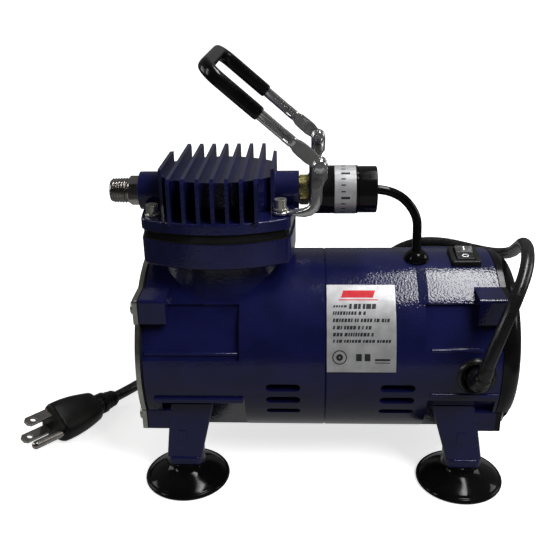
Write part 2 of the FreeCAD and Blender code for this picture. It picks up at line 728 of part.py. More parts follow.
def cooling_fan():
    """Six-blade fan on the shaft's rear end."""
    hub = rod_x(78.0, 88.0, 9.0)
    for i in range(6):
        blade = box(79.0, 86.0, -0.9, 0.9, AXIS_Z + 7, AXIS_Z + 27)
        blade.rotate(V(82.5, 0, AXIS_Z + 15), Z_DIR, 28.0)
        blade.rotate(V(0, 0, AXIS_Z), X_DIR, 60.0 * i)
        hub = hub.fuse(blade)
    return hub.cut(rod_x(77, 89, SHAFT_R)).removeSplitter()


# ---- handle ---------------------------------------------------------------
PLATE_T = 2.4
ARM_PLATE_T = 2.2
HANDLE_GAP = 0.4


def handle_bracket(side):
    """Steel strip: an eye under a head screw, a run outwards, then an upright to the pin."""
    eye_x = CYL_X + SCREW_X
    z0 = HEAD_TOP
    y_in = side * (HINGE_Y - PLATE_T / 2)
    eye = rod_z(z0, z0 + BRACKET_T, 4.3, eye_x, side * SCREW_Y)
    ya, yb = sorted((side * (SCREW_Y - 1.0), side * (HINGE_Y + 1.2)))
    run = box(eye_x, HINGE_X - 4.5, ya, yb, z0, z0 + BRACKET_T)
    outer = Part.Face(Part.Wire([
        Part.LineSegment(V(-4.6, 0, z0), V(-3.6, 0, z0)).toShape(),
        arc_edge((-3.6, 0, z0), (2.3, 0, z0 + 2.4), (4.8, 0, z0 + 8.4)),
        Part.LineSegment(V(4.8, 0, z0 + 8.4), V(4.8, 0, z0 + 18)).toShape(),
        Part.LineSegment(V(4.8, 0, z0 + 18), V(-0.8, 0, z0 + 18)).toShape(),
        Part.LineSegment(V(-0.8, 0, z0 + 18), V(-0.8, 0, z0 + 8.4)).toShape(),
        arc_edge((-0.8, 0, z0 + 8.4), (-1.8, 0, z0 + 5.9), (-4.6, 0, z0 + 4.4)),
        Part.LineSegment(V(-4.6, 0, z0 + 4.4), V(-4.6, 0, z0)).toShape(),
    ]))
    bend = outer.extrude(V(0, PLATE_T * 1.5, 0))
    bend.translate(V(0, min(y_in, y_in + side * PLATE_T * 1.5), 0))
    y0, y1 = sorted((y_in, y_in + side * PLATE_T))
    upright = box(HINGE_X - 3.8, HINGE_X + 3.8, y0, y1, z0 + 16.0, HINGE_Z)
    head = rod_y(y0, y1, 3.8, HINGE_X, HINGE_Z)
    piece = eye.multiFuse([run, bend, upright, head])
    cuts = [
        rod_z(z0 - 1, z0 + 5, CLAMP_SCREW_R, eye_x, side * SCREW_Y),
        rod_y(-60, 60, 2.0, HINGE_X, HINGE_Z),
    ]
    return piece.cut(group(cuts)).removeSplitter()


def hinge_pins():
    """A headed rivet through each bracket and arm."""
    pins = []
    for side in (-1, 1):
        inner = HINGE_Y - PLATE_T / 2
        outer = HINGE_Y + PLATE_T / 2 + HANDLE_GAP + ARM_PLATE_T + HANDLE_GAP
        for r, a, b in ((2.0, inner - 1.6, outer + 1.8), (3.3, inner - 1.6, inner), (3.5, outer, outer + 1.8)):
            y0, y1 = sorted((side * a, side * b))
            pins.append((side, rod_y(y0, y1, r, HINGE_X, HINGE_Z)))
    solids = []
    for side in (-1, 1):
        pieces = [shape for which, shape in pins if which == side]
        solids.append(pieces[0].multiFuse(pieces[1:]).removeSplitter())
    return group(solids)


ARM_Y = HINGE_Y + PLATE_T / 2 + HANDLE_GAP + ARM_PLATE_T / 2


def place_handle(shape):
    """From a handle lying along -X from the pins to its leaning rest position."""
    shape.rotate(V(0, 0, 0), Y_DIR, HANDLE_LEAN)
    shape.translate(V(HINGE_X, 0, HINGE_Z))
    return shape


BAR_W = 5.2
BAR_T = 4.2
GRIP_START = 36.0
GRIP_W = 7.0
GRIP_T = 6.8
GRIP_WALL = (GRIP_T - BAR_T) / 2.0


def bar_frame(start, wall, half_height, corner_r, inner_r):
    """The U of both bars and the cross bar, wall thicker all round than the steel."""
    x_far = -ARM_LENGTH - wall
    y_out = ARM_Y + BAR_T / 2 + wall
    thickness = BAR_T + 2 * wall
    outer = box(x_far, start + 20, -y_out, y_out, -half_height, half_height)
    outer = round_vertical(outer, corner_r)
    inner = box(x_far + thickness, start + 40, thickness - y_out, y_out - thickness,
                -half_height - 1, half_height + 1)
    frame = outer.cut(round_vertical(inner, inner_r))
    return frame.common(box(x_far - 1, start, -60, 60, -30, 30))


def handle_bail():
    """Two flat ends on the pins, two bars, and the cross bar inside the grip."""
    pieces = []
    for side in (-1, 1):
        y0, y1 = sorted((side * (ARM_Y - ARM_PLATE_T / 2), side * (ARM_Y + ARM_PLATE_T / 2)))
        plate = box(-15.0, 0.0, y0, y1, -3.8, 3.8)
        pieces += [plate, rod_y(y0, y1, 3.8, 0, 0)]
    bail = bar_frame(-14.0, 0.0, BAR_W / 2, 7.0, 4.0).multiFuse(pieces)
    bail = bail.cut(rod_y(-60, 60, 2.0 + FIT, 0, 0)).removeSplitter()
    return place_handle(bail)


def handle_grip():
    """Rubber sleeve around the outer part of both bars and the cross bar."""
    sleeve = bar_frame(-GRIP_START, GRIP_WALL, GRIP_W / 2, 7.0 + GRIP_WALL, 4.0 - GRIP_WALL)
    long_edges = [e for e in sleeve.Edges
                  if all(abs(abs(v.Z) - GRIP_W / 2) < 0.01 for v in e.Vertexes)
                  and any(v.X < -GRIP_START - 0.1 for v in e.Vertexes)]
    sleeve = sleeve.makeFillet(1.6, long_edges)
    sleeve = sleeve.cut(bar_frame(-10.0, 0.0, BAR_W / 2, 7.0, 4.0))
    return place_handle(sleeve)


# ---- rocker switch --------------------------------------------------------
BEZEL_TOP = AXIS_Z + BARREL_R + 2.0
ROCKER_PIVOT_Z = BEZEL_TOP - 2.0
ROCKER_R = 6.5                   # from the pivot to the ends of the button
ROCKER_HALF_WIDTH = 4.6
ROCKER_VALLEY = 2.9              # middle of the button's top, above the pivot


def rocker_bezel():
    """Snap-in frame of the mains switch, saddled on the barrel, and its box inside."""
    frame = box(ROCKER_X - 7.4, ROCKER_X + 7.4, -8.9, 8.9, AXIS_Z + BARREL_R - 3, BEZEL_TOP)
    frame = round_level(round_vertical(frame, 1.0), BEZEL_TOP, 0.7)
    frame = frame.cut(rod_x(ROCKER_X - 20, ROCKER_X + 20, BARREL_R))
    frame = frame.fuse(box(ROCKER_X - 6.3, ROCKER_X + 6.3, -7.7, 7.7, AXIS_Z + 33, BEZEL_TOP - 1))
    well = box(ROCKER_X - 5.0, ROCKER_X + 5.0, -6.9, 6.9, AXIS_Z + 39, BEZEL_TOP + 1)
    return turned(frame.cut(well).removeSplitter(), ROCKER_LEAN)


def rocker_top_end(side, slope):
    """Where a half of the button's top, at that slope, meets the arc round the pivot."""
    turn = math.radians(slope)
    b = ROCKER_VALLEY * math.sin(turn)
    reach = -b + math.sqrt(b * b + ROCKER_R ** 2 - ROCKER_VALLEY ** 2)
    return side * reach * math.cos(turn), ROCKER_VALLEY + reach * math.sin(turn)


def rocker_button():
    """Rocker whose ends are arcs round its pivot, so that it swings clear of its frame."""
    front_y, front_z = rocker_top_end(-1, -4.0)
    back_y, back_z = rocker_top_end(1, 18.0)
    low = math.sqrt(ROCKER_R ** 2 - 2.6 ** 2)
    x0 = ROCKER_X - ROCKER_HALF_WIDTH
    side_view = Part.Wire([
        Part.LineSegment(V(x0, front_y, front_z), V(x0, 0, ROCKER_VALLEY)).toShape(),
        Part.LineSegment(V(x0, 0, ROCKER_VALLEY), V(x0, back_y, back_z)).toShape(),
        arc_edge((x0, back_y, back_z), (x0, ROCKER_R, 0), (x0, low, -2.6)),
        Part.LineSegment(V(x0, low, -2.6), V(x0, -low, -2.6)).toShape(),
        arc_edge((x0, -low, -2.6), (x0, -ROCKER_R, 0), (x0, front_y, front_z)),
    ])
    paddle = Part.Face(side_view).extrude(V(2 * ROCKER_HALF_WIDTH, 0, 0))
    paddle.translate(V(0, 0, ROCKER_PIVOT_Z))
    return turned(paddle, ROCKER_LEAN)


# ---- name plate -----------------------------------------------------------
PLATE_X = (7.2, 41.0)


def name_plate():
    """Thin plate bent round the front of the barrel."""
    sector = ring_x(PLATE_X[0], PLATE_X[1], BARREL_R + 0.4, BARREL_R)
    keep = []
    for angle in (21.1, 41.8):
        block = box(PLATE_X[0], PLATE_X[1], -60, -30, AXIS_Z - 13.5, AXIS_Z + 13.5)
        keep.append(turned(block, -angle))
    wedge = keep[0].fuse(keep[1]).removeSplitter()
    return sector.common(wedge).removeSplitter()


# ---- feet -----------------------------------------------------------------
def suction_foot(x, y):
    """Rubber cup: a neck under the pad, a flared skirt and a hollow underside."""
    outline = [
        Part.LineSegment(V(0, 0, 4.6), V(0, 0, PAD_Z)).toShape(),
        Part.LineSegment(V(0, 0, PAD_Z), V(8.6, 0, PAD_Z)).toShape(),
        Part.LineSegment(V(8.6, 0, PAD_Z), V(8.9, 0, PAD_Z - 1.4)).toShape(),
        arc_edge((8.9, 0, PAD_Z - 1.4), (14.6, 0, 6.3), (CUP_R - 0.7, 0, 2.2)),
        arc_edge((CUP_R - 0.7, 0, 2.2), (CUP_R, 0, 1.1), (CUP_R - 1.0, 0, 0)),
        Part.LineSegment(V(CUP_R - 1.0, 0, 0), V(CUP_R - 2.6, 0, 0)).toShape(),
        arc_edge((CUP_R - 2.6, 0, 0), (12.0, 0, 3.4), (4.0, 0, 4.6)),
        Part.LineSegment(V(4.0, 0, 4.6), V(0, 0, 4.6)).toShape(),
    ]
    cup = Part.Face(Part.Wire(outline)).revolve(V(0, 0, 0), Z_DIR, 360)
    cup = cup.cut(Part.makeCylinder(STUD_R, 8, V(0, 0, 7.0), Z_DIR))
    cup.translate(V(x, y, 0))
    return cup


def foot_studs():
    studs = []
    for x in (CUP_LEFT_X, CUP_RIGHT_X):
        for side in (-1, 1):
            studs.append(rod_z(7.0, 27.0, STUD_R, x, side * CUP_Y))
    return group(studs)


# ---- mains cord -----------------------------------------------------------
GLAND_Y = -47.9
BOOT_POINTS = [(GLAND_X, GLAND_Y, GLAND_Z), (77.6, -62.9, 66.5), (81.2, -62.2, 79.5)]

# The stretch from the boot, up and over the rear end, down to the coil.
CORD_UP = [
    (81.2, -62.2, 79.5), (85.8, -61.3, 95.5), (92.8, -55.3, 110.8), (99.8, -43.5, 120.6),
    (104.0, -28.0, 125.0), (106.5, -10.5, 122.5), (108.7, 6.5, 113.5), (110.0, 23.5, 103.6),
    (106.0, 41.0, 96.5), (95.8, 56.0, 93.8), (80.3, 66.0, 94.6), (64.0, 70.0, 93.2),
    (49.5, 73.5, 85.0), (39.5, 77.5, 70.0), (32.5, 82.0, 52.5), (25.5, 87.0, 35.0),
    (15.8, 92.0, 20.5), (3.1, 101.3, 10.4),
]
# The stretch from the coil to the plug, along the floor.
CORD_FLOOR = [
    (27.6, 93.1, 4.0), (4.0, 93.1, 3.8), (-26.0, 95.5, 3.4), (-57.0, 93.5, 3.4),
    (-85.0, 80.5, 3.5), (-103.0, 61.0, 4.0), (-113.2, 42.8, 4.7), (-122.0, 29.8, 5.5),
]

COIL_CENTRE = (27.6, 133.7)
COIL_TURN_R = 40.6                        # middle of the outermost turn
COIL_COLUMNS = 3
COIL_R = (COIL_TURN_R - (COIL_COLUMNS - 0.5) * CORD_D, COIL_TURN_R + 0.5 * CORD_D)
TIE_T = 0.8
COIL_Z = (TIE_T, TIE_T + 2 * CORD_D)


def cord_gland():
    """Rubber bush in the casting with an elbow boot that turns the cord upwards."""
    bush = rod_y(GLAND_Y, GLAND_Y + 3.0, 9.0, GLAND_X, GLAND_Z)
    bush = bush.cut(rod_x(GLAND_X - 20, GLAND_X + 20, BARREL_R))
    stem = rod_y(GLAND_Y, -39.0, GLAND_STEM_R, GLAND_X, GLAND_Z)
    boot = swept_tube(BOOT_POINTS, 8.0)[0]
    return bush.multiFuse([stem, boot]).removeSplitter()


def cord_tube(name, route):
    tube, length, radii = swept_tube(route, CORD_D)
    section = math.pi * CORD_D ** 2 / 4.0
    print("%s: length %.1f, volume ratio %.4f, radii %s"
          % (name, length, tube.Volume / (section * length), [round(r, 1) for r in radii]))
    return tube


def cord_coil():
    """Outer shape of the wound length."""
    x, y = COIL_CENTRE
    ring = rod_z(COIL_Z[0], COIL_Z[1], COIL_R[1], x, y)
    return ring.cut(rod_z(0, 30, COIL_R[0], x, y))


def cord_tie():
    """Strap round the wound ring, at its far side."""
    x, y = COIL_CENTRE
    y0, y1 = y + COIL_R[0] - TIE_T, y + COIL_R[1] + TIE_T
    return box(x - 4, x + 4, y0, y1, 0.0, COIL_Z[1] + TIE_T).cut(cord_coil())


PLUG_PLACE = V(-151.4, -6.6, 11.8)     # middle of the blades, at the plug's face
PLUG_HEADING = 236.5
PLUG_PITCH = 6.0
PLUG_ROLL = -18.0


def place_plug(shape):
    """From local axes (X out of the face, Y towards the earth pin) to the floor."""
    shape.rotate(V(0, 0, 0), X_DIR, PLUG_ROLL)
    shape.rotate(V(0, 0, 0), Y_DIR, -PLUG_PITCH)
    shape.rotate(V(0, 0, 0), Z_DIR, PLUG_HEADING)
    shape.translate(PLUG_PLACE)
    return shape


def plug_section(x, scale, y_shift):
    """Outline of the plug: wide at the blades and round at the earth pin."""
    def p(y, z):
        return (x, y_shift + y * scale, z * scale)
    edges = [
        arc_edge(p(-3.0, -11.7), p(-6.2, 0.0), p(-3.0, 11.7)),
        Part.LineSegment(V(*p(-3.0, 11.7)), V(*p(11.3, 7.7))).toShape(),
        arc_edge(p(11.3, 7.7), p(16.8, 0.0), p(11.3, -7.7)),
        Part.LineSegment(V(*p(11.3, -7.7)), V(*p(-3.0, -11.7))).toShape(),
    ]
    return Part.Wire(edges)


def plug_body():
    body = Part.makeLoft([plug_section(-30.0, 0.72, 1.2), plug_section(-9.0, 0.99, 0.0),
                          plug_section(0.0, 1.0, 0.0)], True, True)
    collar = Part.makeCylinder(6.4, 8.0, V(-38.0, 4.6, 0), X_DIR)
    relief = Part.makeCone(4.4, 5.4, 10.0, V(-47.0, 4.6, 0), X_DIR)
    body = body.fuse(collar).fuse(relief).removeSplitter()
    holes = [box(-12, 1, -3.2, 3.2, z - 0.8, z + 0.8) for z in (-6.35, 6.35)]
    holes.append(Part.makeCylinder(2.4, 13, V(-12, 11.9, 0), X_DIR))
    plug = place_plug(body.cut(group(holes)))
    end = place_plug(Part.Vertex(-47.0, 4.6, 0)).Point
    print("plug: lowest point %.2f, cord end %.1f %.1f %.1f" % (plug.BoundBox.ZMin, end.x, end.y, end.z))
    return plug


def plug_blades():
    blades = []
    for z in (-6.35, 6.35):
        blade = prism([
            (-12, -3.2, z - 0.8), (15.6, -3.2, z - 0.8), (17.3, -1.6, z - 0.8),
            (17.3, 1.6, z - 0.8), (15.6, 3.2, z - 0.8), (-12, 3.2, z - 0.8),
        ], (0, 0, 1.6))
        hole = Part.makeCylinder(1.7, 4, V(12.4, 0, z - 2), Z_DIR)
        blades.append(blade.cut(hole))
    return place_plug(group(blades))


def plug_earth_pin():
    pin = Part.makeCylinder(2.4, 30.0, V(-12, 11.9, 0), X_DIR)
    pin = pin.fuse(Part.makeSphere(2.4, V(18.0, 11.9, 0))).removeSplitter()
    return place_plug(pin)


# ---- all sub-parts --------------------------------------------------------
def all_nodes():
    nodes = {
        "front_housing": front_housing(),
        "rear_housing": rear_housing(),
        "crankcase_gasket": crankcase_gasket(),
        "crankcase_cover": crankcase_cover(),
        "crankcase_cover_screws": cover_screws(COVER_X, 1, FRONT_BOSSES),
        "rear_end_cover": rear_end_cover(),
        "rear_cover_screws": cover_screws(REAR_X + REAR_FLANGE_T, -1, REAR_BOSSES),
        "motor_through_bolts": through_bolts(),
        "cylinder_sleeve": cylinder_sleeve(),
        "cylinder_gasket": cylinder_gasket(),
        "valve_plate": valve_plate(),
        "head_gasket": head_gasket(),
        "intake_reed": reed_valve(VALVE_Z - 0.3, CYL_X - 8),
        "discharge_reed": reed_valve(HEAD_Z - GASKET_T, CYL_X + 8),
        "cylinder_head": cylinder_head(),
        "head_washers": head_washers(),
        "head_screws": head_screws(),
        "outlet_fitting": outlet_fitting(),
        "switch_adapter": switch_adapter(),
        "pressure_switch_body": pressure_switch_body(),
        "pressure_switch_band": pressure_switch_band(),
        "pressure_switch_diaphragm": switch_diaphragm(),
        "pressure_switch_cap": pressure_switch_cap(),
        "switch_cable": switch_cable(),
        "cable_grommet": cable_grommet(),
        "handle_bracket_front": handle_bracket(-1),
        "handle_bracket_rear": handle_bracket(1),
        "handle_hinge_pins": hinge_pins(),
        "handle_bail": handle_bail(),
        "handle_grip": handle_grip(),
        "rocker_bezel": rocker_bezel(),
        "rocker_button": rocker_button(),
        "name_plate": name_plate(),
        "stator_core": stator_core(),
        "winding_front": winding(-2.0, 8.0),
        "winding_rear": winding(48.0, 58.0),
        "front_bearing": bearing(-33.0, -21.0),
        "rear_bearing": bearing(64.0, 73.0),
        "motor_shaft": motor_shaft(),
        "rotor_core": rotor_core(),
        "crank_disc": crank_disc(),
        "cooling_fan": cooling_fan(),
        "connecting_rod": connecting_rod(),
        "crank_bearing": crank_bearing(),
        "piston": piston(),
        "piston_cup": piston_cup(),
        "foot_studs": foot_studs(),
        "cord_gland": cord_gland(),
        "power_cord": cord_tube("power cord", CORD_UP),
        "power_cord_plug_end": cord_tube("plug end", CORD_FLOOR),
        "cord_coil": cord_coil(),
        "cord_tie": cord_tie(),
        "plug_body": plug_body(),
        "plug_blades": plug_blades(),
        "plug_earth_pin": plug_earth_pin(),
    }
    for x, end in ((CUP_LEFT_X, "left"), (CUP_RIGHT_X, "right")):
        for side, face in ((-1, "front"), (1, "rear")):
            nodes["suction_foot_%s_%s" % (face, end)] = suction_foot(x, side * CUP_Y)
    return nodes


def main():
    os.makedirs("parts", exist_ok=True)
    nodes = all_nodes()
    for name, shape in nodes.items():
        if not shape.isValid():
            print("NOT VALID: " + name)
        shape.exportStep("parts/%s.step" % name)
    print("%d sub-parts" % len(nodes))


main()
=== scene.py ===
import json
import math
import random

import bmesh
import bpy
from mathutils import Matrix, Vector


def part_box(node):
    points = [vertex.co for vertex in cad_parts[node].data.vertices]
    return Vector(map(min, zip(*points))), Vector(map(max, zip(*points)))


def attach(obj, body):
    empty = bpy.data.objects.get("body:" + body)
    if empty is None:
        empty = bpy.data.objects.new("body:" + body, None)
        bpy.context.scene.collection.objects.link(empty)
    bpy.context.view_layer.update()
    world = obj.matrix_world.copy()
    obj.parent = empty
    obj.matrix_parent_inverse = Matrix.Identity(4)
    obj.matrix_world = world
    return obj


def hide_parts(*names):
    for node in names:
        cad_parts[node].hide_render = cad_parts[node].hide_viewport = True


# Looks of the airbrush compressor. Lengths are written in millimetres and scaled by MM.
MM = 0.001
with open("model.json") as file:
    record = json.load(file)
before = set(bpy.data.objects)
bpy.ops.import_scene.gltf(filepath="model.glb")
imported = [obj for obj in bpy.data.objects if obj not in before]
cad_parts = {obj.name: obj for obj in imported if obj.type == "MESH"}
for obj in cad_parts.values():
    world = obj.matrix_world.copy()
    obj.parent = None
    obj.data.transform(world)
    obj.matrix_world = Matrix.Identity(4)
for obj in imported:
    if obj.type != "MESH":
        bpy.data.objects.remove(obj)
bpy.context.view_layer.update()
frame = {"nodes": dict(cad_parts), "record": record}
NODES = frame["nodes"]

AXIS_Z = 64.5                 # motor axis
BARREL_R = 48.0
PORT_Z = 147.35               # axis of the outlet and the pressure switch
HINGE = (3.4, 0.0, 168.0)
HANDLE_LEAN = 41.0            # of the arms above the horizontal, at rest
ROCKER_X = 78.4
ROCKER_LEAN = 6.0             # the switch sits a little behind the top of the shell
CORD_D = 6.4
SWITCH_CABLE_D = 4.7


def mm(*point):
    return Vector(point) * MM


# ---- camera, floor and light ------------------------------------------------
def make_camera():
    pitch, yaw, roll = (math.radians(a) for a in (22.58, 2.69, -1.01))
    forward = Vector((-math.sin(yaw) * math.cos(pitch), math.cos(yaw) * math.cos(pitch), -math.sin(pitch)))
    right = forward.cross(Vector((0, 0, 1))).normalized()
    up = right.cross(forward)
    side = right * math.cos(roll) + up * math.sin(roll)
    top = up * math.cos(roll) - right * math.sin(roll)
    camera = bpy.data.objects.new("camera", bpy.data.cameras.new("camera"))
    bpy.context.scene.collection.objects.link(camera)
    camera.data.lens = 50.57
    camera.data.clip_start = 0.01
    camera.matrix_world = Matrix.Translation(mm(-1.77, -380.6, 258.6)) @ Matrix(
        (side, top, -forward)).transposed().to_4x4()
    bpy.context.scene.camera = camera


def area_light(name, place, aim, width, height, radiance, reflected=True):
    """A soft panel whose power is worked out from how bright its face looks."""
    lamp = bpy.data.lights.new(name, "AREA")
    lamp.shape, lamp.size, lamp.size_y = "RECTANGLE", width, height
    lamp.energy = radiance * math.pi * width * height
    light = bpy.data.objects.new(name, lamp)
    light.location = place
    light.rotation_euler = (Vector(aim) - Vector(place)).to_track_quat("-Z", "Y").to_euler()
    light.visible_glossy = reflected
    bpy.context.scene.collection.objects.link(light)


def make_lights():
    """Two panels over the fan end make the light patches on the shell; the rest light the metal parts.

    Each line: name, place, point aimed at, width, height, brightness; all in metres.
    """
    area_light("panel_right", (0.200, 0.010, 0.67), (0.200, 0.010, 0.0), 0.100, 0.500, 13)
    area_light("panel_middle", (0.124, 0.010, 0.67), (0.124, 0.010, 0.0), 0.046, 0.500, 5)
    area_light("panel_left", (-0.60, -0.30, 0.45), (-0.03, 0.0, 0.12), 0.10, 0.30, 5)
    area_light("panel_end_left", (-1.20, 0.15, 0.50), (0.0, 0.0, 0.10), 0.60, 0.50, 2.5)
    area_light("panel_end_right", (1.20, 0.15, 0.50), (0.0, 0.0, 0.10), 0.60, 0.50, 2.5)
    area_light("soft_key", (0.50, -0.50, 0.80), (0.03, 0.0, 0.08), 0.40, 0.40, 15, False)


def map_range(tree, value, start, end, low, high, smooth=False):
    """Turns start..end of a value into low..high."""
    node = tree.nodes.new("ShaderNodeMapRange")
    if smooth:
        node.interpolation_type = "SMOOTHSTEP"
    node.inputs["From Min"].default_value = start
    node.inputs["From Max"].default_value = end
    node.inputs["To Min"].default_value = low
    node.inputs["To Max"].default_value = high
    tree.links.new(value, node.inputs["Value"])
    return node.outputs["Result"]


def make_world():
    """White to the camera, a soft fill for surfaces, and dark in reflections, least so behind."""
    world = bpy.data.worlds.new("studio")
    bpy.context.scene.world = world
    world.use_nodes = True
    tree = world.node_tree
    background = tree.nodes["Background"]
    background.inputs["Color"].default_value = (1, 1, 1, 1)
    coordinate = tree.nodes.new("ShaderNodeTexCoord")
    split = tree.nodes.new("ShaderNodeSeparateXYZ")
    tree.links.new(coordinate.outputs["Generated"], split.inputs[0])
    path = tree.nodes.new("ShaderNodeLightPath")
    gloss = tree.nodes.new("ShaderNodeMix")
    gloss.inputs["A"].default_value = 0.11
    tree.links.new(path.outputs["Is Glossy Ray"], gloss.inputs["Factor"])
    tree.links.new(map_range(tree, split.outputs["Y"], -0.3, 0.8, 0.015, 0.13), gloss.inputs["B"])
    seen = tree.nodes.new("ShaderNodeMix")
    seen.inputs["B"].default_value = 1.0
    tree.links.new(path.outputs["Is Camera Ray"], seen.inputs["Factor"])
    tree.links.new(gloss.outputs["Result"], seen.inputs["A"])
    tree.links.new(seen.outputs["Result"], background.inputs["Strength"])


def paper_glow_with_painted_shadow(tree, place):
    """The paper's own light, with a painted shadow: a little weaker close to the object."""
    distance = tree.nodes.new("ShaderNodeVectorMath")
    distance.operation = "LENGTH"
    tree.links.new(place, distance.inputs[0])
    return map_range(tree, distance.outputs["Value"], 0.12, 0.65, 0.70, 1.0, smooth=True)


def mirrored_paper(tree, place):
    """The paper in reflections: a dim patch under the object, and darker beyond it."""
    wide = tree.nodes.new("ShaderNodeVectorMath")
    wide.operation = "MULTIPLY"
    wide.inputs[1].default_value = (2.0, 1.0, 0.0)
    tree.links.new(place, wide.inputs[0])
    positive = tree.nodes.new("ShaderNodeVectorMath")
    positive.operation = "ABSOLUTE"
    tree.links.new(wide.outputs["Vector"], positive.inputs[0])
    sides = tree.nodes.new("ShaderNodeSeparateXYZ")
    tree.links.new(positive.outputs["Vector"], sides.inputs[0])
    reach = tree.nodes.new("ShaderNodeMath")
    reach.operation = "MAXIMUM"
    tree.links.new(sides.outputs["X"], reach.inputs[0])
    tree.links.new(sides.outputs["Y"], reach.inputs[1])
    emission = tree.nodes.new("ShaderNodeEmission")
    strength = map_range(tree, reach.outputs["Value"], 0.42, 0.50, 0.24, 0.05, smooth=True)
    tree.links.new(strength, emission.inputs["Strength"])
    return emission.outputs["Emission"]


def choose(tree, condition, otherwise, chosen):
    """One shader where a condition of the ray holds, and another where it does not."""
    node = tree.nodes.new("ShaderNodeMixShader")
    tree.links.new(condition, node.inputs["Fac"])
    tree.links.new(otherwise, node.inputs[1])
    tree.links.new(chosen, node.inputs[2])
    return node.outputs["Shader"]


def floor_paper():
    """White paper to the camera, with a painted shadow close to the object; dimmer in reflections and as
    bounced light.
    """
    material = plain("floor_paper", (0.9, 0.9, 0.9), 0.9)
    tree = material.node_tree
    place = tree.nodes.new("ShaderNodeTexCoord").outputs["Object"]
    white = principled(material)
    white.inputs["Specular IOR Level"].default_value = 0.0
    white.inputs["Emission Color"].default_value = (1, 1, 1, 1)
    # painted shadow: the paper's glow is made weaker close to the object
    tree.links.new(paper_glow_with_painted_shadow(tree, place), white.inputs["Emission Strength"])
    dim = tree.nodes.new("ShaderNodeBsdfDiffuse")
    dim.inputs["Color"].default_value = (0.12, 0.12, 0.12, 1)
    path = tree.nodes.new("ShaderNodeLightPath")
    unseen = choose(tree, path.outputs["Is Glossy Ray"], dim.outputs["BSDF"], mirrored_paper(tree, place))
    paper = choose(tree, path.outputs["Is Camera Ray"], unseen, white.outputs["BSDF"])
    tree.links.new(paper, tree.nodes["Material Output"].inputs["Surface"])
    return material


def make_floor():
    mesh = bpy.data.meshes.new("floor")
    half = 15.0
    corners = [(-half, -half, 0), (half, -half, 0), (half, half, 0), (-half, half, 0)]
    mesh.from_pydata(corners, [], [(0, 1, 2, 3)])
    floor = bpy.data.objects.new("floor", mesh)
    floor.location.z = -0.0002
    bpy.context.scene.collection.objects.link(floor)
    mesh.materials.append(floor_paper())


# ---- material tools ------------------------------------------------------------
def plain(name, colour, roughness, metallic=0.0):
    material = bpy.data.materials.new(name)
    material.use_nodes = True
    shader = material.node_tree.nodes["Principled BSDF"]
    shader.inputs["Base Color"].default_value = (*colour, 1)
    shader.inputs["Roughness"].default_value = roughness
    shader.inputs["Metallic"].default_value = metallic
    return material


def principled(material):
    return material.node_tree.nodes["Principled BSDF"]


def noise(material, scale, detail=2.0, stretch=(1, 1, 1)):
    """Noise in the object's own space; scale is in cells per metre."""
    tree = material.node_tree
    coordinate = tree.nodes.new("ShaderNodeTexCoord")
    mapping = tree.nodes.new("ShaderNodeMapping")
    mapping.inputs["Scale"].default_value = stretch
    texture = tree.nodes.new("ShaderNodeTexNoise")
    texture.inputs["Scale"].default_value = scale
    texture.inputs["Detail"].default_value = detail
    tree.links.new(coordinate.outputs["Object"], mapping.inputs["Vector"])
    tree.links.new(mapping.outputs["Vector"], texture.inputs["Vector"])
    return texture.outputs["Fac"]


def spread(material, value, low, high):
    """The middle of a noise, which is all that it reaches, spread over low..high."""
    return map_range(material.node_tree, value, 0.35, 0.65, low, high)


def bump(material, heights, coat=False):
    """Bump from several (height, depth in mm) pairs, each laid on the one before."""
    tree = material.node_tree
    normal = None
    for value, depth in heights:
        node = tree.nodes.new("ShaderNodeBump")
        node.inputs["Distance"].default_value = depth * MM
        tree.links.new(value, node.inputs["Height"])
        if normal is not None:
            tree.links.new(normal, node.inputs["Normal"])
        normal = node.outputs["Normal"]
    tree.links.new(normal, principled(material).inputs["Normal"])
    if coat:
        tree.links.new(normal, principled(material).inputs["Coat Normal"])


def rough(material, value, low, high):
    material.node_tree.links.new(spread(material, value, low, high), principled(material).inputs["Roughness"])


def tint(material, value, dark, light):
    """Base colour that wanders between two colours with a noise."""
    tree = material.node_tree
    ramp = tree.nodes.new("ShaderNodeValToRGB")
    ramp.color_ramp.elements[0].position = 0.35
    ramp.color_ramp.elements[0].color = (*dark, 1)
    ramp.color_ramp.elements[1].position = 0.65
    ramp.color_ramp.elements[1].color = (*light, 1)
    tree.links.new(value, ramp.inputs["Fac"])
    tree.links.new(ramp.outputs["Color"], principled(material).inputs["Base Color"])


# ---- the finishes, one for each slot of the record -----------------------------------
def blue_enamel():
    material = plain("blue_enamel", (0.006, 0.007, 0.05), 0.5)
    shader = principled(material)
    shader.inputs["Specular IOR Level"].default_value = 0.08
    shader.inputs["Coat Weight"].default_value = 1.0
    shader.inputs["Coat Roughness"].default_value = 0.06
    tint(material, noise(material, 60, 3), (0.0040, 0.0050, 0.036), (0.0060, 0.0070, 0.052))
    bump(material, [(noise(material, 90, 1), 0.05), (noise(material, 900, 1), 0.12)], coat=True)
    return material


def metal(name, colour, low, high, grain, depth, stretch=(1, 1, 1), metallic=1.0):
    material = plain(name, colour, low, metallic)
    darker = tuple(c * 0.78 for c in colour)
    tint(material, noise(material, grain * 0.2, 3), darker, colour)
    rough(material, noise(material, grain, 4, stretch), low, high)
    bump(material, [(noise(material, grain, 4, stretch), depth)])
    return material


def black(name, level, low, high, grain, depth, specular=0.25):
    material = plain(name, (level, level, level * 1.05), low)
    principled(material).inputs["Specular IOR Level"].default_value = specular
    tint(material, noise(material, grain * 0.1, 3), (level * 0.7,) * 3, (level * 1.3,) * 3)
    rough(material, noise(material, grain * 0.3, 3), low, high)
    bump(material, [(noise(material, grain * 0.08, 2), depth * 3), (noise(material, grain, 3), depth)])
    return material


